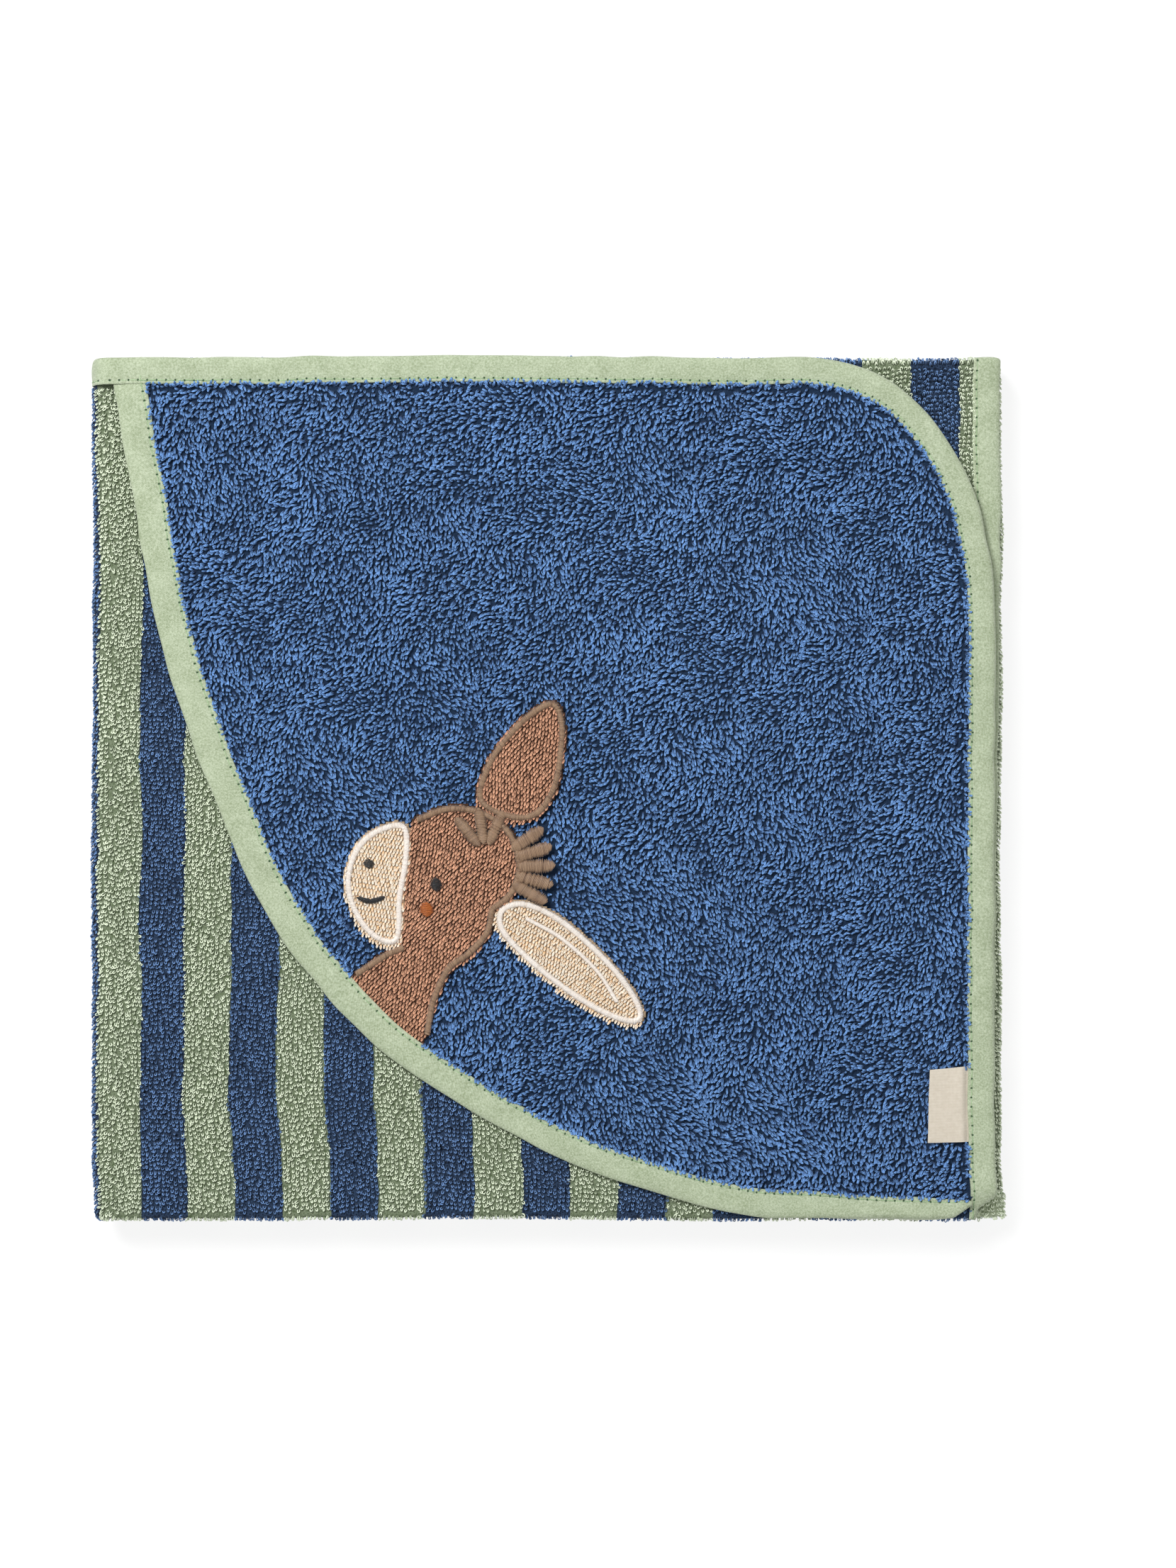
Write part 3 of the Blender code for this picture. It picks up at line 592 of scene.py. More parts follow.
STRIPED_GROUND = striped_terry()
BLUE_YARN = yarn("striped_terry_blue_loops", BLUE_DARK, BLUE_LIGHT)
GREEN_YARN = yarn("striped_terry_green_loops", GREEN_DARK, GREEN_LIGHT)
HOOD_GROUND = ground_weave("hood_terry_ground", HOOD_DARK, HOOD_LIGHT)
HOOD_YARN = yarn("hood_terry_loops", HOOD_DARK, HOOD_LIGHT)
APPLIQUE = {"brown": (ground_weave("applique_brown_ground", BROWN_DARK, BROWN_LIGHT),
                      yarn("applique_brown_loops", BROWN_DARK, BROWN_LIGHT)),
            # the cream ground's colours are raised, so that its painted shade is lighter
            "cream": (ground_weave("applique_cream_ground", scaled(CREAM_DARK, 1.9), scaled(CREAM_LIGHT, 2.4)),
                      yarn("applique_cream_loops", CREAM_DARK, CREAM_LIGHT))}
BINDING = binding_cotton()
SEWING_THREAD = yarn("sewing_thread", srgb(128, 166, 118), srgb(178, 204, 160), 0.55, 0.1, 0.4)
SATIN = {colour: yarn(f"satin_{colour}", srgb(*dark), srgb(*light), 0.42, 0.2, 0.5) for colour, dark, light in (
    ("brown", (110, 82, 62), (168, 138, 110)), ("white", (236, 222, 208), (253, 246, 238)),
    ("black", (8, 10, 12), (28, 32, 36)), ("orange", (140, 66, 14), (192, 104, 34)))}


# --- The towel's ground cloth

def covered(v, zone):
    """1 where modelled loops stand on that face of the cloth, 0 elsewhere."""
    low, high = zone
    return smoothstep(v, low - 2 * MM, low) * (1 - smoothstep(v, high, high + 2 * MM))


UPPER_LOOPS = dict.fromkeys(("middle_third", "right_fold", "base_third"), (RUN_A, START_B))
UPPER_LOOPS.update(hood_third=(0, START_B), left_fold=(0, START_B))
LOWER_LOOPS = dict.fromkeys(("left_fold", "middle_third", "base_third"), (END_B, START_C))
LOWER_LOOPS.update(hood_third=(START_B, START_C), right_fold=(END_B, CLOTH_LENGTH))
FOLDS = {"left_fold": ("middle_third", "hood_third"), "right_fold": ("base_third", "middle_third")}


def fine_corner():
    fine = np.linspace(math.pi / 2, 0, 400)
    across, down = np.cos(fine) ** (2 / CORNER_POWER), np.sin(fine) ** (2 / CORNER_POWER)
    normal = np.stack([across ** (CORNER_POWER - 1) / CORNER_X, down ** (CORNER_POWER - 1) / CORNER_Y])
    normal /= np.hypot(*normal)
    return CORNER_Y * (1 - down), CORNER_X * (1 - across), normal


CORNER_FROM_EDGE, CORNER_DRAWN_BACK, CORNER_NORMAL = fine_corner()


def drawn_back_at(v, inset):
    from_edge = CORNER_FROM_EDGE + inset * CORNER_NORMAL[1]
    drawn_back = CORNER_DRAWN_BACK + inset * CORNER_NORMAL[0]
    return np.interp(np.minimum(v, CLOTH_LENGTH - v), from_edge, drawn_back)


def bound_line(kind, v, inset=0.0):
    """The bound side of an outer third, drawn in by inset."""
    if kind == "hood_third":
        return HOOD_THIRD_EDGE_X + slip(v) - drawn_back_at(v, inset)
    return BASE_THIRD_EDGE_X + drawn_back_at(v, inset)


def cloth_rows(start, end):
    """Rows down the cloth, closer together round the folds and inside the binding."""
    edges = [0, MARGIN, RUN_A, START_B, END_B, START_C, CLOTH_LENGTH - MARGIN, CLOTH_LENGTH]
    steps = [1.0, 5.0, ARC / MM / 8, 5.0, ARC / MM / 8, 5.0, 1.0]
    rows = []
    for low, high, step in zip(edges, edges[1:], steps):
        rows.append(np.linspace(low, high, max(2, round((high - low) / MM / step)), endpoint=False))
    rows = np.concatenate(rows + [[CLOTH_LENGTH]])
    rows = rows[(rows > start + 0.2 * MM) & (rows < end - 0.2 * MM)]
    return np.concatenate([[start], rows, [end]])


def ground_cloth(name, kind, v_range, columns):
    """One piece of the towel's ground cloth, thin inside the binding."""
    v = cloth_rows(*v_range)[:, None]
    share = np.linspace(0, 1, columns)[None]
    if kind in FOLDS:
        s = share * math.pi * FOLD_RADIUS + 0 * v
        from_bound = np.full_like(s, 1.0)
    elif kind == "middle_third":
        s = LEFT_FOLD_X + share * (RIGHT_FOLD_X - LEFT_FOLD_X) + 0 * v
        from_bound = np.full_like(s, 1.0)
    else:
        fold = LEFT_FOLD_X if kind == "hood_third" else RIGHT_FOLD_X
        edge = bound_line(kind, v, TONGUE_INSET)
        s = fold + (edge - fold) * (1 - (1 - share) ** 1.4)
        from_bound = np.abs(bound_line(kind, v) - s)
    v = np.broadcast_to(v, s.shape)
    from_edge = np.minimum(np.minimum(v, CLOTH_LENGTH - v), from_bound)
    full = smoothstep(from_edge, BINDING_WIDTH - 0.6 * MM, BINDING_WIDTH + 0.8 * MM)
    looped = np.stack([covered(v, UPPER_LOOPS[kind]), covered(v, LOWER_LOOPS[kind])])
    upper, lower = PILE + (GROUND - PILE) * looped
    upper, lower = INSIDE_TAPE + (upper - INSIDE_TAPE) * full, -INSIDE_TAPE - (lower - INSIDE_TAPE) * full
    u = across_cloth(kind, s, v)
    # the tint is lower where modelled loops stand: painted shade under them
    piece = slab(name, lay(kind), s, v, upper, lower, [STRIPED_GROUND], np.stack([u + wander(u, v), v], -1),
                 (BARE_TINT - BARE_TINT * looped).ravel())
    return piece


def follow_fold(piece):
    """A piece round a fold, its transform baked into its mesh."""
    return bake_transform(piece)


# each layer of a fold: where its piece starts and ends down the cloth
LAYERS = {"a": (TONGUE_INSET, RUN_A), "b": (RUN_A, END_B), "c": (END_B, CLOTH_LENGTH - TONGUE_INSET)}
LAYERS_RIGHT = {"a": (TONGUE_INSET, START_B), "b": (START_B, START_C), "c": (START_C, CLOTH_LENGTH - TONGUE_INSET)}

WHOLE = (TONGUE_INSET, CLOTH_LENGTH - TONGUE_INSET)
towel = {}
for third in ("hood_third", "middle_third", "base_third"):
    towel[third] = ground_cloth(f"towel_{third}_ground", third, WHOLE, 60)
    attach(towel[third], third)
    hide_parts(f"towel_{third}")
for fold in FOLDS:
    layers = LAYERS if fold == "left_fold" else LAYERS_RIGHT
    for layer, v_range in layers.items():
        key = f"{fold}_{layer}"
        towel[key] = ground_cloth(f"towel_{key}_ground", fold, v_range, 18)
        follow_fold(towel[key])
        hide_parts(f"towel_{fold}")


# --- Striped loops

def striped_loops(name, kind, face, u_range, v_range, keep, seed, course=COURSE, ground=GROUND, lighter=0.0):
    """Loops in columns and rows on one face of the cloth, blue or green with their column."""
    rng = np.random.default_rng(seed)
    columns = np.arange(math.ceil(u_range[0] / WALE), math.floor(u_range[1] / WALE) + 1) * WALE
    rows = np.arange(math.ceil(v_range[0] / course), math.floor(v_range[1] / course) + 1) * course
    woven, v = (a.ravel() for a in np.meshgrid(columns, rows, indexing="ij"))
    phase = rng.uniform(-0.35, 0.35, len(columns)).repeat(len(rows))
    v = v + course * (phase + rng.normal(0, 0.1, len(v)))
    u = woven
    for _ in range(16):
        u = woven - wander(u, v)
    u = u + rng.normal(0, 0.11 * MM, len(u))
    s = from_across(kind, u, v)
    kept = keep(s, v)
    woven, u, s, v = woven[kept], u[kept], s[kept], v[kept]
    count = len(s)
    drift = noise(u, v, 17 * MM, seed + 50) + 0.6 * noise(u, v, 5 * MM, seed + 51)
    heading = math.pi / 2 + 0.55 * drift + rng.normal(0, 0.35, count)
    heading = np.where(rng.random(count) < 0.06, heading + rng.normal(0, 1.5, count), heading)
    length, width, height = (drawn(rng, count, *size) for size in (LOOP_LENGTH, LOOP_WIDTH, LOOP_HEIGHT))
    roll = rng.normal(0, 0.35, count)
    lines, binormal, bow = hairpins(s, v, ground, heading, length, width, height, roll, 7, side=face)
    blue = np.floor((woven - FIRST_STRIPE) / STRIPE) % 2 == 0
    lighter = lighter + np.where(blue, -0.03, 0.2)[:, None]
    if kind == "hood_third" and face > 0:
        # the pile's colour is darker near the folded side
        lighter = lighter - 0.12 * smoothstep(-u, 152 * MM, 166 * MM)[:, None]
    # darker at the root and lighter at the crest by bow: painted shade and painted highlight
    tint = 0.03 + lighter + 0.87 * bow[None] + rng.normal(0, 0.17, count)[:, None] + 0.15 * drift[:, None]
    tint = tint.clip(0, 1)
    return in_parts(name, lay(kind), np.argsort(s, kind="stable"), lines, binormal, YARN_RADIUS,
                    [GREEN_YARN, BLUE_YARN], tint, blue.astype(int))


free_edge = smooth(HOOD_EDGE, 12)


def free_edge_at(inset, count):
    return beside(resample(free_edge, count, 0.012, 0.99), inset)


def side_path(kind):
    """The bound edge of an outer third from edge A round to edge C: places, inward directions, lift."""
    side = 1 if kind == "hood_third" else -1
    fold_x = LEFT_FOLD_X if side > 0 else RIGHT_FOLD_X
    edge_x = HOOD_THIRD_EDGE_X if side > 0 else BASE_THIRD_EDGE_X
    pick = np.searchsorted(reach_of(np.stack([CORNER_FROM_EDGE, CORNER_DRAWN_BACK], 1)),
                           np.arange(0, 160, 1.5) * MM)
    pick = np.unique(pick.clip(0, len(CORNER_FROM_EDGE) - 1))
    e, b, (nx, nv) = CORNER_FROM_EDGE[pick], CORNER_DRAWN_BACK[pick], CORNER_NORMAL[:, pick]
    start = np.arange(fold_x * side, (edge_x * side) - CORNER_X - 1 * MM, 1.5 * MM) * side
    straight = np.concatenate([np.arange(CORNER_Y + 1 * MM, RUN_A, 1.5 * MM), np.linspace(RUN_A, START_B, 9),
                               np.arange(START_B + 1 * MM, END_B, 1.5 * MM), np.linspace(END_B, START_C, 9),
                               np.arange(START_C + 1 * MM, CLOTH_LENGTH - CORNER_Y - 1 * MM, 1.5 * MM)])
    out, away = np.ones_like(start), np.ones_like(straight)
    s = np.concatenate([start, edge_x - side * b, edge_x + 0 * away, edge_x - side * b[::-1], start[::-1]])
    v = np.concatenate([0 * start, e, straight, CLOTH_LENGTH - e[::-1], CLOTH_LENGTH + 0 * start])
    if side > 0:
        s = s + slip(v) * smoothstep(s, 0, 1 * MM)
    in_s = np.concatenate([0 * out, -side * nx, -side * away, -side * nx[::-1], 0 * out])
    in_v = np.concatenate([out, nv, 0 * away, -nv[::-1], -out])
    lift = np.zeros_like(s)
    if side > 0:
        lift = np.interp(v - (EDGE_A_Y - HOOD_FOOT_Y), [5 * MM, 5 * MM + LIFT_RUN], [1, 0])
    return np.stack([s, v], 1), np.stack([in_s, in_v], 1), lift


hood_path, hood_inward, hood_lift = side_path("hood_third")
bound_part = (hood_path[:, 1] < EDGE_A_Y - HOOD_FOOT_Y) & (hood_path[:, 0] >= HOOD_TIP_X - LIFT_RUN)
bound_edge = np.stack([hood_path[bound_part, 0], EDGE_A_Y - hood_path[bound_part, 1]], 1)


def bound_edge_at(inset, count):
    return beside(resample(bound_edge, count), -inset)


under_hood = np.vstack([free_edge_at(4 * MM, 120), bound_edge_at(0, 120)[::-1]])
layer_a_outline = np.stack([bound_line("hood_third", np.linspace(0, RUN_A, 200), 3 * MM),
                            EDGE_A_Y - np.linspace(0, RUN_A, 200)], 1)
under_layer_a = np.vstack([[(LEFT_FOLD_X, EDGE_A_Y - 3 * MM)], layer_a_outline[1:],
                           [(LEFT_FOLD_X, BOTTOM_FOLD_Y)]])


UNDER_EDGE = BINDING_WIDTH - 0.4 * MM   # loops start just under the tape's inner edge


def off_tape(s, v):
    return (s > LEFT_FOLD_X) & (s < bound_line("hood_third", v, UNDER_EDGE))


def beneath(s, v, outline):
    y, _ = fold_across(v, 0 * v)
    return inside(np.stack([s, y], 1), outline)


def beside_hood(s, v):
    return off_tape(s, v) & ~(beneath(s, v, under_hood) & (v < RUN_A))


def past_layer_a(s, v):
    return off_tape(s, v) & (~beneath(s, v, under_layer_a) | (v > END_B - 1 * MM))


def between_folds(s, v):
    return (s > LEFT_FOLD_X) & (s < RIGHT_FOLD_X)


def on_base(s, v):
    return (s > bound_line("base_third", v, UNDER_EDGE)) & (s < RIGHT_FOLD_X)


def round_fold(s, v):
    return (s > 0) & (s < OUTER_RUN)


BOUND = BINDING_WIDTH - 0.5 * MM    # how near to the edges loops stand
EVERYWHERE = (-1.2, 0.2)           # across the whole cloth
FINE = 1.15 * MM                   # closer rows where the cloth turns over at the bottom and the top
pile = {}


def add_pile(kind, pieces):
    pile.setdefault(kind, []).extend(pieces)


add_pile("hood_third", striped_loops("loops_beside_hood", "hood_third", 1, (-0.18, 0.18),
                                     (BOUND, RUN_A - 1 * MM), keep=beside_hood, seed=11))
add_pile("hood_third", striped_loops("loops_layer_b_corner", "hood_third", -1, (0.02, 0.18),
                                     (END_B - 130 * MM, END_B - 1.5 * MM), keep=past_layer_a, seed=12))
for number, (kind, keep) in enumerate((("hood_third", past_layer_a), ("middle_third", between_folds),
                                       ("base_third", on_base))):
    low_keep = beside_hood if kind == "hood_third" else keep
    for turn, face, v_range, kept, seed in (("bottom", 1, (RUN_A, START_B + 0.5 * MM), low_keep, 20),
                                            ("top", -1, (END_B - 0.5 * MM, START_C + 1 * MM), keep, 30)):
        add_pile(kind, striped_loops(f"loops_{kind}_{turn}_fold", kind, face, EVERYWHERE, v_range, course=FINE,
                                     keep=kept, seed=seed + number))
OVER_TAPE = 1.25 * MM              # ground of the corner's loops, which stand over a tape
# the right fold's and the corners' loops are painted lighter (last column), as painted light where the upper
# layers shade them
for name, kind, face, v_range, course, layer, seed, ground, lighter in (
        ("left_fold_a", "left_fold", 1, (BOUND, RUN_A), COURSE, "a", 40, GROUND, 0.0),
        ("left_fold_bottom", "left_fold", 1, (RUN_A, START_B), FINE, "b", 41, GROUND, 0.0),
        ("left_fold_top", "left_fold", -1, (END_B, START_C), FINE, "c", 42, GROUND, 0.0),
        ("right_fold_c", "right_fold", -1, (START_C, CLOTH_LENGTH - BOUND), COURSE, "c", 40, GROUND, 0.3),
        ("right_fold_bottom", "right_fold", 1, (RUN_A, START_B), FINE, "a", 41, GROUND, 0.3),
        ("right_fold_top", "right_fold", -1, (END_B, START_C), FINE, "b", 42, GROUND, 0.3),
        ("right_fold_corner", "right_fold", -1, (CLOTH_LENGTH - BOUND, CLOTH_LENGTH), COURSE, "c", 57,
         OVER_TAPE, 0.4)):
    made = striped_loops(f"loops_{name}", kind, face, EVERYWHERE, v_range, course=course, keep=round_fold,
                         seed=seed, ground=ground, lighter=lighter)
    for piece in made:
        follow_fold(piece)
    add_pile(kind, made)
# this corner's loops are painted lighter, as painted light where the upper layers shade them
add_pile("middle_third", striped_loops("loops_middle_third_corner", "middle_third", -1, EVERYWHERE,
                                       (CLOTH_LENGTH - BOUND, CLOTH_LENGTH), seed=58, ground=OVER_TAPE,
                                       lighter=0.4, keep=lambda s, v: (s > 150 * MM) & (s < RIGHT_FOLD_X)))
for kind in ("hood_third", "middle_third", "base_third"):
    for piece in pile[kind]:
        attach(piece, kind)


# --- The binding

# (distance in from the edge, height off the middle, share of the hood's lift), in millimetres
OUTER_SECTION = [(10.5, 0.86, 1), (10.4, 1.1, 1), (9.9, 1.2, 1), (9.3, 1.16, 1), (9.0, 1.08, 1), (8.7, 1.16, 1),
                 (8.0, 1.26, 1), (6.4, 1.36, 1), (4.6, 1.4, 1), (2.8, 1.32, 1), (1.4, 1.08, 1), (0.5, 0.72, 0.95),
                 (0.08, 0.3, 0.75), (0.0, 0.0, 0.5)]
INNER_SECTION = [(10.4, 0.7, 1), (10.2, 0.7, 1), (9.9, 0.72, 1), (9.3, 0.7, 1), (9.0, 0.66, 1), (8.7, 0.7, 1),
                 (8.0, 0.76, 1), (6.4, 0.84, 1), (4.6, 0.88, 1), (2.8, 0.82, 1), (1.6, 0.66, 1), (0.9, 0.4, 0.95),
                 (0.6, 0.18, 0.75), (0.55, 0.0, 0.5)]


def both_faces(section):
    below = [(inset, -height, 1 - share) for inset, height, share in reversed(section[:-1])]
    return np.array(section + below) * (MM, MM, 1)


def tape(name, kind, path, inward, lift, node, width, seed, fullness):
    """A folded tape swept along an edge, slightly puckered."""
    outer, inner = both_faces(OUTER_SECTION), both_faces(INNER_SECTION)
    along = reach_of(path)
    widen = np.ones(len(path)) if width is None else width / BINDING_WIDTH
    # both ends are left even, so that neighbouring tapes meet
    off_ends = (smoothstep(along, 0, 5 * MM) * smoothstep(along[-1] - along, 0, 5 * MM))[:, None]
    edge = 0.2 * MM * noise(along, 0 * along, 11 * MM, seed + 2)[:, None] * off_ends
    pull = -0.07 * MM * np.cos(2 * math.pi * along / STITCH)[:, None]
    rings = []
    for section in (outer, inner):
        depth, rise, lifted = (column[None] for column in section.T)
        inset = depth * widen[:, None]
        ruck = 0.16 * noise(along[:, None], depth, 6.5 * MM, seed) * MM
        ruck = (ruck + 0.05 * noise(along[:, None], depth, 2.2 * MM, seed + 1) * MM) * off_ends
        pucker = pull * np.exp(-((depth - STITCH_INSET) / (1.2 * MM)) ** 2)
        height = rise + (ruck + pucker) * np.sign(rise)
        if fullness is not None:
            height = height * fullness[:, None]
        height = height + HOOD_LIFT * lift[:, None] * lifted
        place = path[:, None] + inward[:, None] * (inset + edge)[..., None]
        rings.append(np.concatenate([place, height[..., None]], -1))
    ring = np.concatenate([rings[0], rings[1][:, ::-1]], 1)
    rows, points, _ = ring.shape
    grid = np.arange(rows * points).reshape(rows, points)
    after = np.roll(grid, -1, 1)
    walls = np.stack([grid[:-1], after[:-1], after[1:], grid[1:]], -1).reshape(-1, 4)
    half = points // 2
    i = np.arange(half - 1)
    cap = np.stack([i, points - 1 - i, points - 2 - i, i + 1], -1)
    quads = np.concatenate([walls, cap, cap[:, ::-1] + (rows - 1) * points])
    flat_inset = np.concatenate([outer[:, 0], inner[::-1, 0]])
    uv = np.stack(np.broadcast_arrays(along[:, None], flat_inset[None]), -1).reshape(-1, 2)
    piece = new_mesh(name, lay(kind)(ring.reshape(-1, 3)), quads, [BINDING], uv=uv, ends=2 * len(cap))
    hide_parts(node)
    return piece


def stitches(name, kind, path, inward, lift, width, seed):
    """The topstitch: a short thread from each pinhole to the next, on each face of the tape."""
    along = reach_of(path)
    rng = np.random.default_rng(seed)
    holes = np.arange(1, math.floor(along[-1] / STITCH)) * STITCH
    reach = holes[:, None] + np.linspace(0.06, 0.94, 6)[None] * STITCH

    def at(values):
        return np.interp(reach, along, values)

    widen = 1 if width is None else at(width) / BINDING_WIDTH
    wobble = rng.normal(0, 0.06 * MM, len(holes))[:, None]
    s = at(path[:, 0]) + at(inward[:, 0]) * (STITCH_INSET * widen + wobble)
    v = at(path[:, 1]) + at(inward[:, 1]) * (STITCH_INSET * widen + wobble)
    arch = np.sin(np.linspace(0, math.pi, 6))[None] ** 0.5
    lines = []
    for face in (1, -1):
        height = (1.02 + 0.16 * arch) * MM * face + (HOOD_LIFT * at(lift) if face > 0 else 0)
        lines.append(np.stack([s, v, height + 0 * s], -1))
    lines = np.concatenate(lines)
    binormal = np.broadcast_to(np.array([0.0, 0.0, 1.0]), (len(lines), 3))
    tint = np.clip(rng.normal(0.6, 0.15, (len(lines), 1)) + np.zeros((1, 6)), 0, 1)
    piece = tubes(name, lay(kind), lines, binormal, 0.17 * MM, [SEWING_THREAD], tint)
    return piece


def bind(kind, name, path, inward, lift, seed, layer=None, width=None, fullness=None):
    """The tape along an edge and its topstitch, on a body or round a fold."""
    pieces = [tape(f"tape_{name}", kind, path, inward, lift, f"binding_{name}", width, seed, fullness),
              stitches(f"sewn_{name}", kind, path, inward, lift, width, seed)]
    for piece in pieces:
        if kind in FOLDS:
            follow_fold(piece)
        else:
            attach(piece, "hood_third" if kind == "hood" else kind)
    return pieces


trim = {"hood_third": bind("hood_third", "hood_third", hood_path, hood_inward, hood_lift, 61),
        "base_third": bind("base_third", "base_third", *side_path("base_third"), 62), "middle_third": []}
for edge, layer, v_at, inward_v, seed in (("edge_a", "a", 0.0, 1.0, 63), ("edge_c", "c", CLOTH_LENGTH, -1.0, 64)):
    for kind in ("middle_third", *FOLDS):
        s = np.linspace(0, OUTER_RUN, 24)
        if kind == "middle_third":
            s = np.linspace(LEFT_FOLD_X, RIGHT_FOLD_X, 225)
        path = np.stack([s, v_at + 0 * s], 1)
        inward = np.stack([0 * s, inward_v + 0 * s], 1)
        lift = 1 - smoothstep(s, 0, 8 * MM) if (kind, layer) == ("left_fold", "a") else 0 * s
        key, turn_seed = (kind, seed) if kind == "middle_third" else (f"{kind}_{layer}", seed + 5)
        made = bind(kind, f"{kind}_{edge}", path, inward, lift, turn_seed, layer)
        trim.setdefault(key, []).extend(made)


# --- The hood

HOOD_ROWS = 110
free_inner, bound_inner = free_edge_at(TONGUE_INSET, HOOD_ROWS), bound_edge_at(TONGUE_INSET, HOOD_ROWS)
share = np.linspace(0, 1, 44)[None, :, None]
hood_places = free_inner[:, None] * (1 - share) + bound_inner[:, None] * share
from_bound = np.minimum(np.linalg.norm(hood_places - free_inner[:, None], axis=-1),
                        np.linalg.norm(hood_places - bound_inner[:, None], axis=-1))
full = smoothstep(from_bound, BINDING_WIDTH - 2 * MM, BINDING_WIDTH - 0.6 * MM)
hood = slab("hood_ground", lay("hood"), hood_places[..., 0], hood_places[..., 1],
            (0.35 - 0.25 * full) * MM, (-0.35 - 0.75 * full) * MM, [HOOD_GROUND], hood_places)
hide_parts("hood_panel")
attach(hood, "hood_third")

start_run = free_edge[0] + (free_edge[0] - free_edge[3]) / np.linalg.norm(free_edge[0] - free_edge[3]) * 6 * MM
hood_tape_path = resample(np.vstack([[start_run], free_edge]), 340, 0, 0.997)
fraction = np.linspace(0, 1, len(hood_tape_path))
hood_tape_width = (12.6 - 1.6 * smoothstep(fraction, 0.3, 0.8)) * MM
# the inner edge runs straight on to the side's binding while the outer edge rounds off
hood_tape_inner = hood_tape_path + left_normals(hood_tape_path) * hood_tape_width[:, None]
HOOD_END_INNER_Y = -157.6 * MM
ending = smoothstep(hood_tape_path[:, 0], 128 * MM, 150 * MM)[:, None]
straight_on = np.stack([hood_tape_path[:, 0], HOOD_END_INNER_Y - 0.1 * (hood_tape_path[:, 0] - 0.15)], 1)
hood_tape_inner = hood_tape_inner * (1 - ending) + straight_on * ending
hood_tape_inward = hood_tape_inner - hood_tape_path
hood_tape_width = np.linalg.norm(hood_tape_inward, axis=1)
hood_tape_inward /= hood_tape_width[:, None]
no_lift = np.zeros(len(hood_tape_path))
started = smoothstep(reach_of(hood_tape_path), 5 * MM, 11 * MM)
trim["hood"] = bind("hood", "hood_edge", hood_tape_path, hood_tape_inward, no_lift, 71, width=hood_tape_width,
                    fullness=0.45 + 0.55 * started)
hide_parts("topstitch_hood_edge")
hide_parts("topstitch_hood_third")


# --- The applique's outlines, as in the CAD model

MUZZLE = [(-55, -15.5), (-64, -16), (-72, -22), (-76, -32), (-75.5, -43), (-71, -52), (-64, -58),
          (-57.5, -58), (-57, -44), (-54.5, -29)]
HEAD_TO_EAR = [(-50, -12.5), (-38, -8.5), (-25, -10), (-14.5, -18), (-10.5, -31), (-14, -41), (-21.5, -47)]
EAR_TO_CHEST = [(-21.5, -47), (-23, -56), (-30, -64), (-38, -70), (-43.5, -82), (-46, -95)]
THROAT = [(-55, -61.5), (-62, -64.5), (-73.5, -71.5)]
NECK_END = [(-46, -95), (-60, -84.5), (-73.5, -71.5)]
HEAD_FRONT = [(-55, -61.5), (-54, -44), (-51.5, -29), (-50, -12.5)]
UPRIGHT_EAR = [(-25.5, -5), (-22, 9), (-12, 23), (-1, 31.5), (4, 30), (5.5, 18), (3.5, 3), (-3, -9),
               (-13, -11.5)]
DROOPING_EAR = [(-17.5, -47.5), (-9, -45), (4, -50.5), (18, -61.5), (30, -75), (36, -86), (32.5, -89.5),
                (19, -84.5), (2, -73.5), (-11, -62), (-17.5, -54)]
EAR_LINING = [(-8, -50.5), (6, -58), (19, -70), (27, -82)]
SATIN_WIDTH, DETAIL_WIDTH = 2.2 * MM, 1.4 * MM
SATIN_PITCH = 0.36 * MM                # from thread to thread
APPLIQUE_W = HALF + GAP                # underside of the applique, off the hood's middle
PATCH_TOP = APPLIQUE_W + 0.45 * MM     # ground of the patch, under its loops
PATCH_COLUMN, PATCH_ROW = 1.3 * MM, 1.75 * MM
PATCH_CLEAR = 12.5 * MM                # bare cloth at the hood's free edge, under its tape
FRINGE = 0.7 * MM                      # cloth left outside the satin outline
MOUTH = [(-73, -42), (-68, -43.5), (-62.5, -42)]

muzzle, upright_ear, drooping_ear = (smooth(p, 8, closed=True) for p in (MUZZLE, UPRIGHT_EAR, DROOPING_EAR))
crown = np.vstack([smooth(HEAD_TO_EAR, 8), smooth(EAR_TO_CHEST, 8)[1:]])
throat = smooth(THROAT, 8)
head = np.vstack([crown, smooth(NECK_END, 6)[1:-1], throat[::-1], smooth(HEAD_FRONT, 8)[1:-1]])
flat_hood = lay("hood")


def way_to(line, places):
    """From each place to the nearest point of a line."""
    nearest = np.full(places.shape, 1.0)
    for point in line:
        way = point - places
        closer = (way ** 2).sum(1) < (nearest ** 2).sum(1)
        nearest[closer] = way[closer]
    return nearest


def from_free_edge(places):
    return np.linalg.norm(way_to(resample(free_edge, 200, 0.2, 0.75), places), axis=1)


def drawn_under_tape(flat):
    """Lays pieces on the hood, drawn down where the hood's tape covers the applique's end."""
    flat = flat.copy()
    flat[:, 2] -= 1.65 * MM * (1 - smoothstep(from_free_edge(flat[:, :2]), 11.8 * MM, 17 * MM))
    return flat_hood(flat)


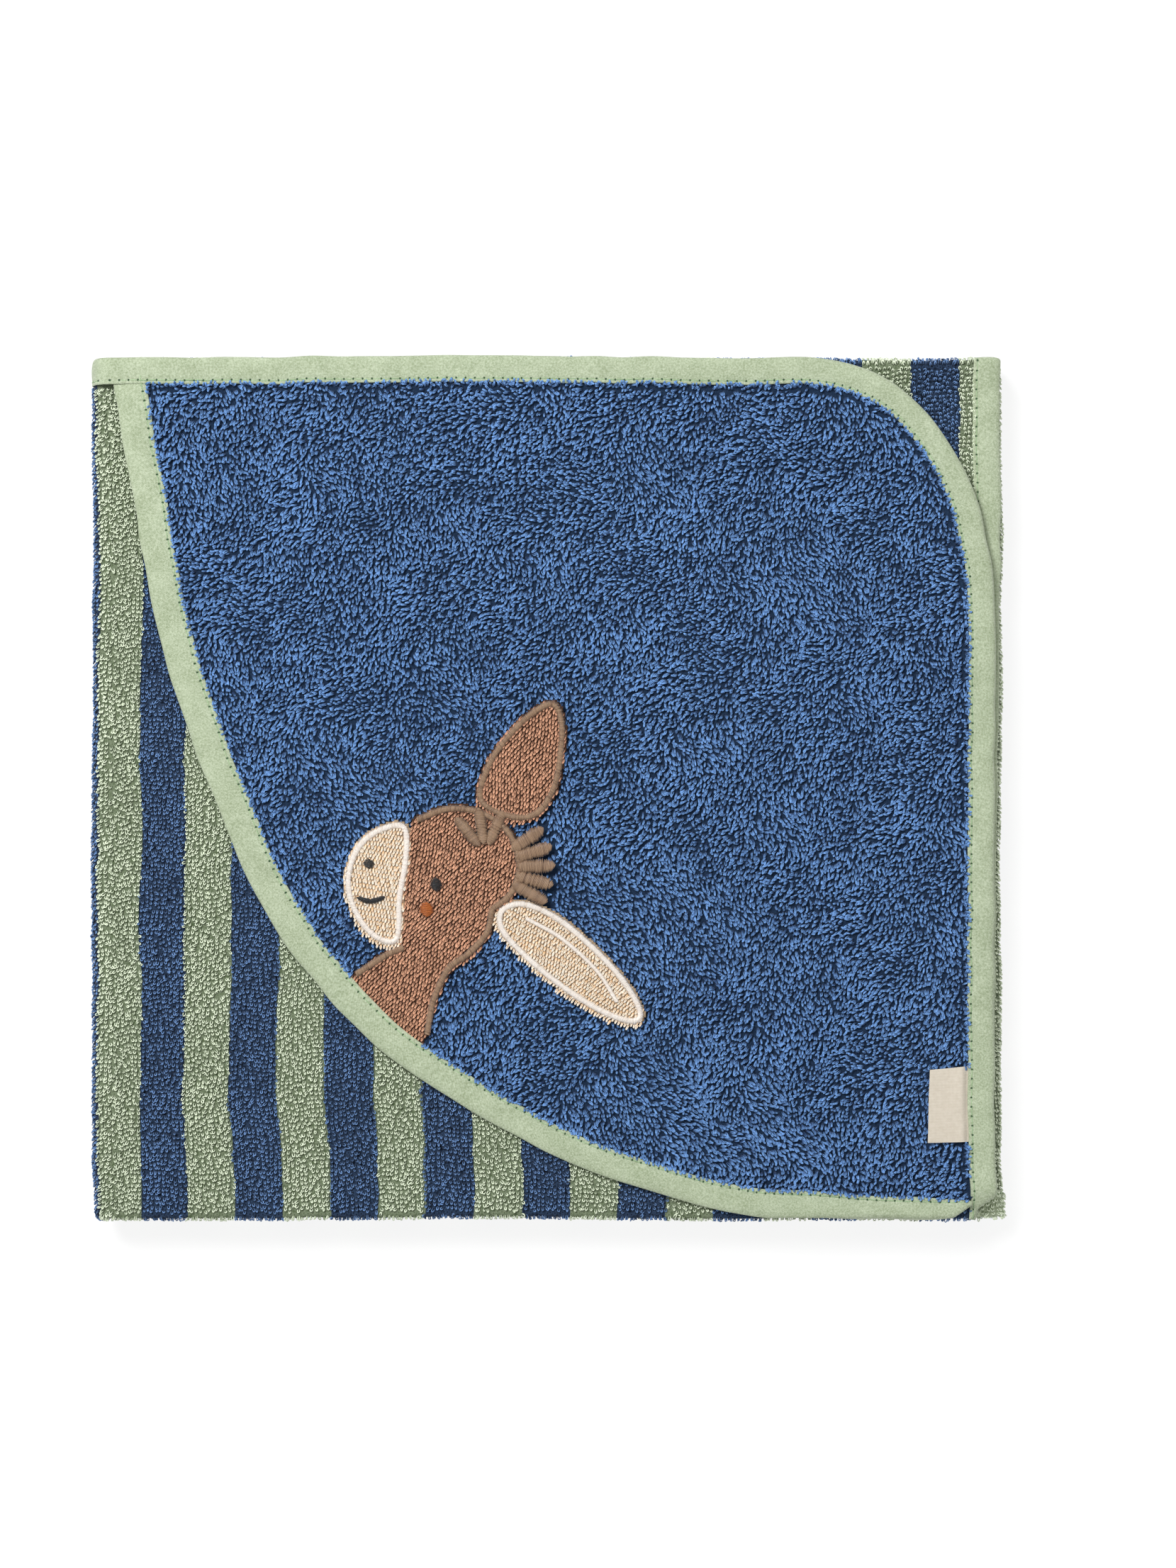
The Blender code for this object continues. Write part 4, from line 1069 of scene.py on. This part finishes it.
def patch(name, loop, ground, node, high):
    """A flat piece of cloth of any outline, built of small cells."""
    low, cell = APPLIQUE_W - 0.9 * MM, 0.8 * MM
    lowest, highest = loop.min(0), loop.max(0)
    xs = np.arange(lowest[0] - cell, highest[0] + 2 * cell, cell)
    ys = np.arange(lowest[1] - cell, highest[1] + 2 * cell, cell)
    x, y = np.meshgrid(xs, ys, indexing="ij")
    taken = inside(np.stack([x.ravel() + cell / 2, y.ravel() + cell / 2], 1), loop).reshape(x.shape)[:-1, :-1]
    index = np.arange(x.size).reshape(x.shape)
    a, b, c, d = index[:-1, :-1], index[1:, :-1], index[1:, 1:], index[:-1, 1:]
    upper = np.stack([a, b, c, d], -1)[taken]
    lower = upper[:, ::-1] + x.size
    padded = np.pad(taken, 1)
    walls = []
    for neighbour, first, second in ((padded[1:-1, :-2], a, b), (padded[2:, 1:-1], b, c),
                                     (padded[1:-1, 2:], c, d), (padded[:-2, 1:-1], d, a)):
        open_side = taken & ~neighbour
        first, second = first[open_side], second[open_side]
        walls.append(np.stack([second, first, first + x.size, second + x.size], -1))
    quads = np.concatenate([upper, lower] + walls)
    flat = np.concatenate([np.stack([x.ravel(), y.ravel(), np.full(x.size, w)], -1) for w in (high, low)])
    used, quads = np.unique(quads, return_inverse=True)
    piece = new_mesh(name, drawn_under_tape(flat[used]), quads.reshape(-1, 4), [ground], uv=flat[used][:, :2])
    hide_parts(node)
    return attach(piece, "hood_third")


def scatter(loop, step_x, step_y, angle, rng, jitter):
    """Staggered places inside an outline, in rows turned by an angle."""
    centre, size = (loop.min(0) + loop.max(0)) / 2, np.linalg.norm(loop.max(0) - loop.min(0)) / 2
    i, j = np.meshgrid(np.arange(-size, size, step_x), np.arange(-size, size, step_y), indexing="ij")
    i = i + (np.arange(j.shape[1]) % 2)[None] * step_x / 2
    i = i.ravel() + rng.normal(0, jitter * step_x / 2, i.size)
    j = j.ravel() + rng.normal(0, jitter * step_y / 2, j.size)
    turned = np.stack([i * math.cos(angle) - j * math.sin(angle), i * math.sin(angle) + j * math.cos(angle)], 1)
    places = centre + turned
    return places[inside(places, loop)]


def patch_loops(name, loop, skin, angle, low, seed, size, lighter, covers):
    """The applique's short, combed terry, left out where other patches cover it."""
    rng = np.random.default_rng(seed)
    places = scatter(loop, PATCH_COLUMN * size, PATCH_ROW * size, angle + math.pi / 2, rng, jitter=0.08)
    places = places[from_free_edge(places) > PATCH_CLEAR]
    for cover in covers:
        places = places[~inside(places, cover)]
    x, y = places.T
    count = len(x)
    heading = angle + 0.14 * noise(x, y, 11 * MM, seed) + rng.normal(0, 0.08, count)
    lines, binormal, bow = hairpins(
        x, y, low, heading, rng.normal(2.1, 0.22, count) * MM * size, rng.normal(0.76, 0.08, count) * MM * size,
        rng.normal(0.75, 0.07, count).clip(0.3) * MM, rng.normal(0, 0.16, count), 7, droop=0.45)
    # darker at the root and lighter at the crest by bow: painted shade and painted highlight
    tint = (lighter + 0.92 * bow[None] + rng.normal(0, 0.12, count)[:, None]).clip(0, 1)
    piece = tubes(name, drawn_under_tape, lines, binormal, 0.24 * MM * size, [skin], tint)
    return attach(piece, "hood_third")


def satin(name, path, width, low, crown_height, colour, node, seed, closed=False, taper=0.0):
    """Satin stitch: threads laid side by side across a path, over a raised core."""
    rng = np.random.default_rng(seed)
    if closed:
        path = np.vstack([path, path[:1]])
    count = max(3, round(reach_of(path)[-1] / SATIN_PITCH))
    centre = resample(path, count)
    normal = left_normals(centre)
    along = np.stack([normal[:, 1], -normal[:, 0]], 1)
    ends = np.linspace(-1, 1, count)
    half = width / 2 * (np.sqrt(np.clip(1 - np.abs(ends) ** (2 / taper), 0.05, 1)) if taper else np.ones(count))
    half = half * (1 + rng.normal(0, 0.09, count))
    across = np.linspace(-1, 1, 7)
    slant = 0.22 * MM
    spread = half[:, None, None] * normal[:, None] * across[None, :, None]
    lines = centre[:, None] + spread + slant * along[:, None] * across[None, :, None]
    dome = np.sqrt(np.clip(1 - np.abs(across * 0.97) ** 3.2, 0, 1))
    thickness = crown_height * (half / (width / 2))[:, None] ** 0.5
    height = low - 0.3 * MM + (thickness + 0.3 * MM) * dome[None] + rng.normal(0, 0.05 * MM, (count, 1))
    lines = np.concatenate([lines, height[..., None]], -1)
    binormal = np.concatenate([along, np.zeros((count, 1))], 1)
    # lighter on the crown of the raised core and darker to its sides: painted highlight and painted shade
    tint = np.clip(rng.normal(0.45, 0.26, (count, 1)) + 0.5 * dome[None] - 0.2, 0, 1)
    piece = tubes(name, drawn_under_tape, lines, binormal, 0.21 * MM, [SATIN[colour]], tint)
    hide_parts(node)
    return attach(piece, "hood_third")


patches = []
for name, loop, colour, degrees, size, lighter in (
        ("head", head, "brown", -118, 1.0, 0.07), ("upright_ear", upright_ear, "brown", -112, 1.0, 0.07),
        ("muzzle", muzzle, "cream", -100, 0.96, 0.16), ("drooping_ear", drooping_ear, "cream", -120, 0.96, 0.16)):
    ground, skin = APPLIQUE[colour]
    outline = let_out(loop, SATIN_WIDTH / 2 + FRINGE)
    raised = 0.0 if name == "head" else 0.35 * MM
    covers = () if name != "head" else [let_out(cover, 0.6 * MM) for cover in (muzzle, upright_ear, drooping_ear)]
    if name == "head":
        # on past its cut end, as far as under the hood's tape
        outline = outline - 2.4 * MM * smoothstep(-outline.sum(1), 128 * MM, 140 * MM)[:, None]
    base = patch(f"patch_{name}", outline, ground, f"applique_{name}", PATCH_TOP + raised)
    loops = patch_loops(f"patch_{name}_loops", outline, skin, math.radians(degrees), PATCH_TOP + raised,
                        80 + len(patches), size, lighter, covers)
    patches.append((base, loops, outline))

SATIN_LOW = PATCH_TOP + 0.35 * MM
SATIN_CROWN = 1.0 * MM
DETAIL_LOW, DETAIL_CROWN = PATCH_TOP + 1.0 * MM, 0.55 * MM
for number, (name, line, colour, closed) in enumerate((
        ("muzzle", muzzle, "white", True), ("upright_ear", upright_ear, "brown", True),
        ("drooping_ear", drooping_ear, "white", True), ("head", crown, "brown", False),
        ("throat", throat, "brown", False))):
    satin(f"stitched_{name}", line, SATIN_WIDTH, SATIN_LOW + 0.2 * MM * closed, SATIN_CROWN, colour,
          f"satin_{name}_outline", closed=closed, seed=101 + number)
satin("stitched_ear_lining", smooth(EAR_LINING, 8), DETAIL_WIDTH, DETAIL_LOW, DETAIL_CROWN, "white",
      "satin_ear_lining", seed=106)
satin("stitched_mouth", smooth(MOUTH, 8), 1.3 * DETAIL_WIDTH, DETAIL_LOW, DETAIL_CROWN, "black",
      "embroidered_mouth", seed=107, taper=0.5)

tuft_lines = []


def tufts(name, node, centre, degrees, root, tip, width, low, seed):
    """A fan of satin tufts, from root to tip along rays from a centre, all in millimetres."""
    for number, angle in enumerate(np.radians(degrees)):
        ray = np.array([math.cos(angle), math.sin(angle)])
        ends = np.array([centre + ray * (root - width / 2), centre + ray * (tip + width / 2)]) * MM
        tuft_lines.append((*ends, width / 2 * MM))
        satin(f"{name}_{number + 1}", resample(ends, 20), width * MM, low, 1.1 * MM, "brown",
              f"{node}_{number + 1}", taper=0.45, seed=seed + number)


tufts("stitched_mane", "mane_tuft", (-24, -31), (34, 18, 2, -14, -29), 15, 24.5, 5.0, PATCH_TOP + 0.8 * MM, 110)
tufts("stitched_forelock", "forelock_tuft", (-24, -25), (130, 98, 66), 5.5, 15, 4.2, PATCH_TOP + 1.0 * MM, 120)
# the dots: place and half their width and height, in millimetres
for number, (name, x, y, radius_x, radius_y, colour) in enumerate((
        ("eye", -42.5, -37.5, 2.1, 2.4, "black"), ("nostril", -68.5, -29, 1.9, 1.7, "black"),
        ("cheek", -46.5, -47, 2.6, 2.6, "orange"))):
    ends = np.array([(x, y - radius_y), (x, y + radius_y)]) * MM
    satin(f"stitched_{name}", resample(ends, 12), 2 * radius_x * MM, DETAIL_LOW, DETAIL_CROWN, colour,
          f"embroidered_{name}", taper=0.9, seed=130 + number)


# --- The label

LABEL_WIDTH, LABEL_HEIGHT, LABEL_SLANT = 14 * MM, 29 * MM, 1 * MM
LABEL_SEAM_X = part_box("woven_label")[1].x
LABEL_TOP_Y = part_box("woven_label")[1].y
LABEL_W = HALF + 0.75 * MM
LABEL_TUCK_W = 0.5 * MM
label_outline = np.array([(LABEL_SEAM_X, LABEL_TOP_Y), (LABEL_SEAM_X - LABEL_WIDTH, LABEL_TOP_Y - LABEL_SLANT),
                          (LABEL_SEAM_X - LABEL_WIDTH - LABEL_SLANT, LABEL_TOP_Y - LABEL_HEIGHT),
                          (LABEL_SEAM_X, LABEL_TOP_Y - LABEL_HEIGHT)])


def label_tape():
    n = Nodes("label_tape", 0.7, 0.15, 0.3)
    _, along, down = n.cloth()
    warp = n.wave(along, 0.34 * MM)
    weft = n.wave(down, 0.5 * MM)
    slub = n.noise(1.5 * MM, 3.0)
    share = n.math("MULTIPLY_ADD", weft, 0.35, n.math("MULTIPLY_ADD", warp, 0.25, n.math("MULTIPLY", slub, 0.5)),
                   clamp=True)
    n.colour(n.mix(share, srgb(184, 172, 152), srgb(226, 218, 204)), srgb(208, 198, 180))
    n.bump(share, 0.1 * MM, 0.8)
    return n.material


across, down = np.meshgrid(np.concatenate([[-0.11, -0.07, -0.035], np.linspace(0, 1, 18)]), np.linspace(0, 1, 34))
label_x = LABEL_SEAM_X - across * (LABEL_WIDTH + LABEL_SLANT * down)
label_y = LABEL_TOP_Y - down * LABEL_HEIGHT - across.clip(0) * LABEL_SLANT * (1 - down)
out = across.clip(0)
bow = LABEL_W + (0.6 * out ** 1.5 + 0.4 * np.sin(math.pi * down) * out
                 + 0.25 * noise(label_x, label_y, 7 * MM, 140)) * MM
# its seam end dips under the edge of the tape
bow = LABEL_TUCK_W + (bow - LABEL_TUCK_W) * smoothstep(across, -0.06, 0.1)
label = slab("label_tab", lay("hood"), label_x, label_y, bow + 0.15 * MM, bow - 0.15 * MM, [label_tape()],
             np.stack([label_x, label_y], -1))
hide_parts("woven_label")
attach(label, "label")


# --- The hood's pile

HOOD_COLUMN, HOOD_ROW = 1.12 * MM, 1.66 * MM
HOOD_LOOP_LENGTH, HOOD_LOOP_WIDTH = (1.85, 0.35, 0.8, 2.9), (0.78, 0.12, 0.5, 1.1)
HOOD_LOOP_HEIGHT = (1.55, 0.25, 0.7, 2.1)
LEANING = math.radians(-112)           # the way the pile is brushed
PRESSED = 0.75 * MM                    # most height of loops under the label
TAPE_GAP = 0.35 * MM                   # from the bindings to the pile's outline
TAPE_LAP = 1.75 * MM                   # least height of loops that lie over the bindings
LABEL_MARGIN = 3.2 * MM                # bare cloth where the label's end goes under the tape
FEATHER = 0.25 * MM                    # from the pile's outline in to its border rows
rng = np.random.default_rng(5)
inner_line = hood_tape_inner + TAPE_GAP * hood_tape_inward
inner_line = inner_line[inner_line[:, 0] < 161.5 * MM]
clear_bound = bound_edge_at(BINDING_WIDTH + TAPE_GAP, 200)[::-1]
clear_bound = clear_bound[clear_bound[:, 1] < 155.6 * MM]
corner_low = np.array([(161.4 * MM, HOOD_END_INNER_Y)])
hood_outline = np.vstack([inner_line, corner_low, clear_bound])
places = scatter(hood_outline, HOOD_COLUMN, HOOD_ROW, 0.0, rng, jitter=0.55)
# closer together along the bindings, where they fill the step up to the tape
along_bound = resample(clear_bound, 560) + rng.normal(0, 0.15 * MM, (560, 2)) - FEATHER
along_free = resample(inner_line, 340) + rng.normal(0, 0.15 * MM, (340, 2)) + FEATHER
places = np.vstack([places, along_bound, along_free])
places = places[places[:, 1] < clear_bound[:, 1].max()]
for _, _, outline in patches:
    places = places[~inside(places, let_out(outline, -0.3 * MM))]
for start, end, reach in tuft_lines:
    along = np.clip((places - start) @ (end - start) / np.sum((end - start) ** 2), 0, 1)[:, None]
    places = places[np.linalg.norm(places - start - along * (end - start), axis=1) > reach]
under_label = inside(places, np.vstack([label_outline[1:3] + (0.4 * MM, 0), label_outline[[3, 0]] + (8 * MM, 0)]))
# none where the label's end goes under the tape
seam = under_label & (places[:, 0] > LABEL_SEAM_X - LABEL_MARGIN)
places, under_label = places[~seam], under_label[~seam]
x, y = places.T
count = len(x)
flow = noise(x, y, 17 * MM, 21) + 0.6 * noise(x, y, 8 * MM, 22) + 0.7 * noise(x, y, 45 * MM, 23)
heading = LEANING + flow + rng.normal(0, 0.42, count)
# beside the side's binding the loops lean out over it, and some do beside the hood's
for line, reach, share in ((clear_bound, 1.8 * MM, 0.85), (inner_line, 1.3 * MM, 0.5)):
    way = way_to(resample(line, 400), places)
    leans = (np.linalg.norm(way, axis=1) < reach) & (rng.random(count) < share)
    heading = np.where(leans, np.arctan2(way[:, 1], way[:, 0]) + rng.normal(0, 0.6, count), heading)
tall = noise(x, y, 6 * MM, 24) + 0.6 * noise(x, y, 14 * MM, 25)
length = drawn(rng, count, *HOOD_LOOP_LENGTH, more=0.3 * tall)
width = drawn(rng, count, *HOOD_LOOP_WIDTH)
height = drawn(rng, count, *HOOD_LOOP_HEIGHT, more=0.2 * tall)
# the pile is pressed down under the label, and beside its free edge
beside_label = np.linalg.norm(way_to(resample(label_outline[1:3], 60), places), axis=1)
height = height * (0.45 + 0.55 * smoothstep(beside_label, 1.2 * MM, 3.4 * MM))
height = np.where(under_label, np.minimum(height, PRESSED), height)
# loops that lean over the bindings lie on them
tips = places + (length + 0.3 * MM)[:, None] * np.stack([np.cos(heading), np.sin(heading)], 1)
over_tape = ~inside(tips, hood_outline) & ~under_label
height = np.where(over_tape, np.maximum(height, TAPE_LAP), height)
length = np.where(over_tape, np.minimum(length, 1.9 * MM), length)
droop = np.where(over_tape, 0.05, 0.3)
lines, binormal, bow = hairpins(x, y, 0.1 * MM, heading, length, width, height, rng.normal(0, 0.45, count), 8,
                                droop=droop)
# darker at the root and lighter at the crest by bow: painted shade and painted highlight
tint = (0.87 * bow[None] + rng.normal(0, 0.16, count)[:, None] + 0.12 * tall[:, None]).clip(0, 1)
TILES = 3
order = np.lexsort((y, np.floor((x - x.min()) / (x.max() - x.min() + 1e-6) * TILES)))
hood_pile = in_parts("hood_loops", flat_hood, order, lines, binormal, 0.22 * MM, [HOOD_YARN], tint)
for piece in hood_pile:
    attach(piece, "hood_third")


# --- The innermost layers of the folds


def named(start, fold):
    """The loops of a fold whose names start so."""
    return [piece for piece in pile[fold] if piece.name.startswith(start)]


innermost = [towel["left_fold_c"], towel["right_fold_a"]] + trim["left_fold_c"] + trim["right_fold_a"]
innermost += named("loops_left_fold_top", "left_fold") + named("loops_right_fold_bottom", "right_fold")


# --- Floor, light and camera

FLOOR_REACH = 15
floor_mesh = bpy.data.meshes.new("floor")
floor_corners = [(x * FLOOR_REACH, y * FLOOR_REACH, 0) for x, y in ((-1, -1), (1, -1), (1, 1), (-1, 1))]
floor_mesh.from_pydata(floor_corners, [], [(0, 1, 2, 3)])
floor = bpy.data.objects.new("floor", floor_mesh)
floor_nodes = Nodes("white_floor", 0.9, 0.0, 0.1)
floor_nodes.set(floor_nodes.shader, "Base Color", (0.24, 0.24, 0.24, 1))
floor_nodes.set(floor_nodes.shader, "Emission Color", (1, 1, 1, 1))
floor_nodes.set(floor_nodes.shader, "Emission Strength", 0.81)
floor_mesh.materials.append(floor_nodes.material)
bpy.context.scene.collection.objects.link(floor)

world = bpy.data.worlds.new("studio")
bpy.context.scene.world = world
world.use_nodes = True
world.node_tree.nodes["Background"].inputs["Color"].default_value = (1.0, 1.0, 1.0, 1)
world.node_tree.nodes["Background"].inputs["Strength"].default_value = 0.4

for name, place, size, power in (("key", (-0.75, 0.95, 1.75), 0.8, 41), ("fill", (1.2, -0.9, 1.9), 1.6, 8)):
    lamp = bpy.data.lights.new(name, "AREA")
    lamp.energy, lamp.size = power, size
    holder = bpy.data.objects.new(name, lamp)
    holder.location = place
    holder.rotation_euler = (-Vector(place)).to_track_quat("-Z", "Y").to_euler()
    bpy.context.scene.collection.objects.link(holder)

camera = bpy.data.cameras.new("camera")
camera.sensor_width, camera.lens = 36, 100
camera.clip_start, camera.clip_end = 0.05, 40
eye = bpy.data.objects.new("camera", camera)
FRAME_HEIGHT = 603.2 * MM                  # of the picture, at the height of the towel's top
eye.location = (15.3 * MM, 1.7 * MM, HOOD_TOP_Z + FRAME_HEIGHT * camera.lens / camera.sensor_width)
bpy.context.scene.collection.objects.link(eye)
bpy.context.scene.camera = eye
bpy.context.scene.view_settings.view_transform = "Standard"
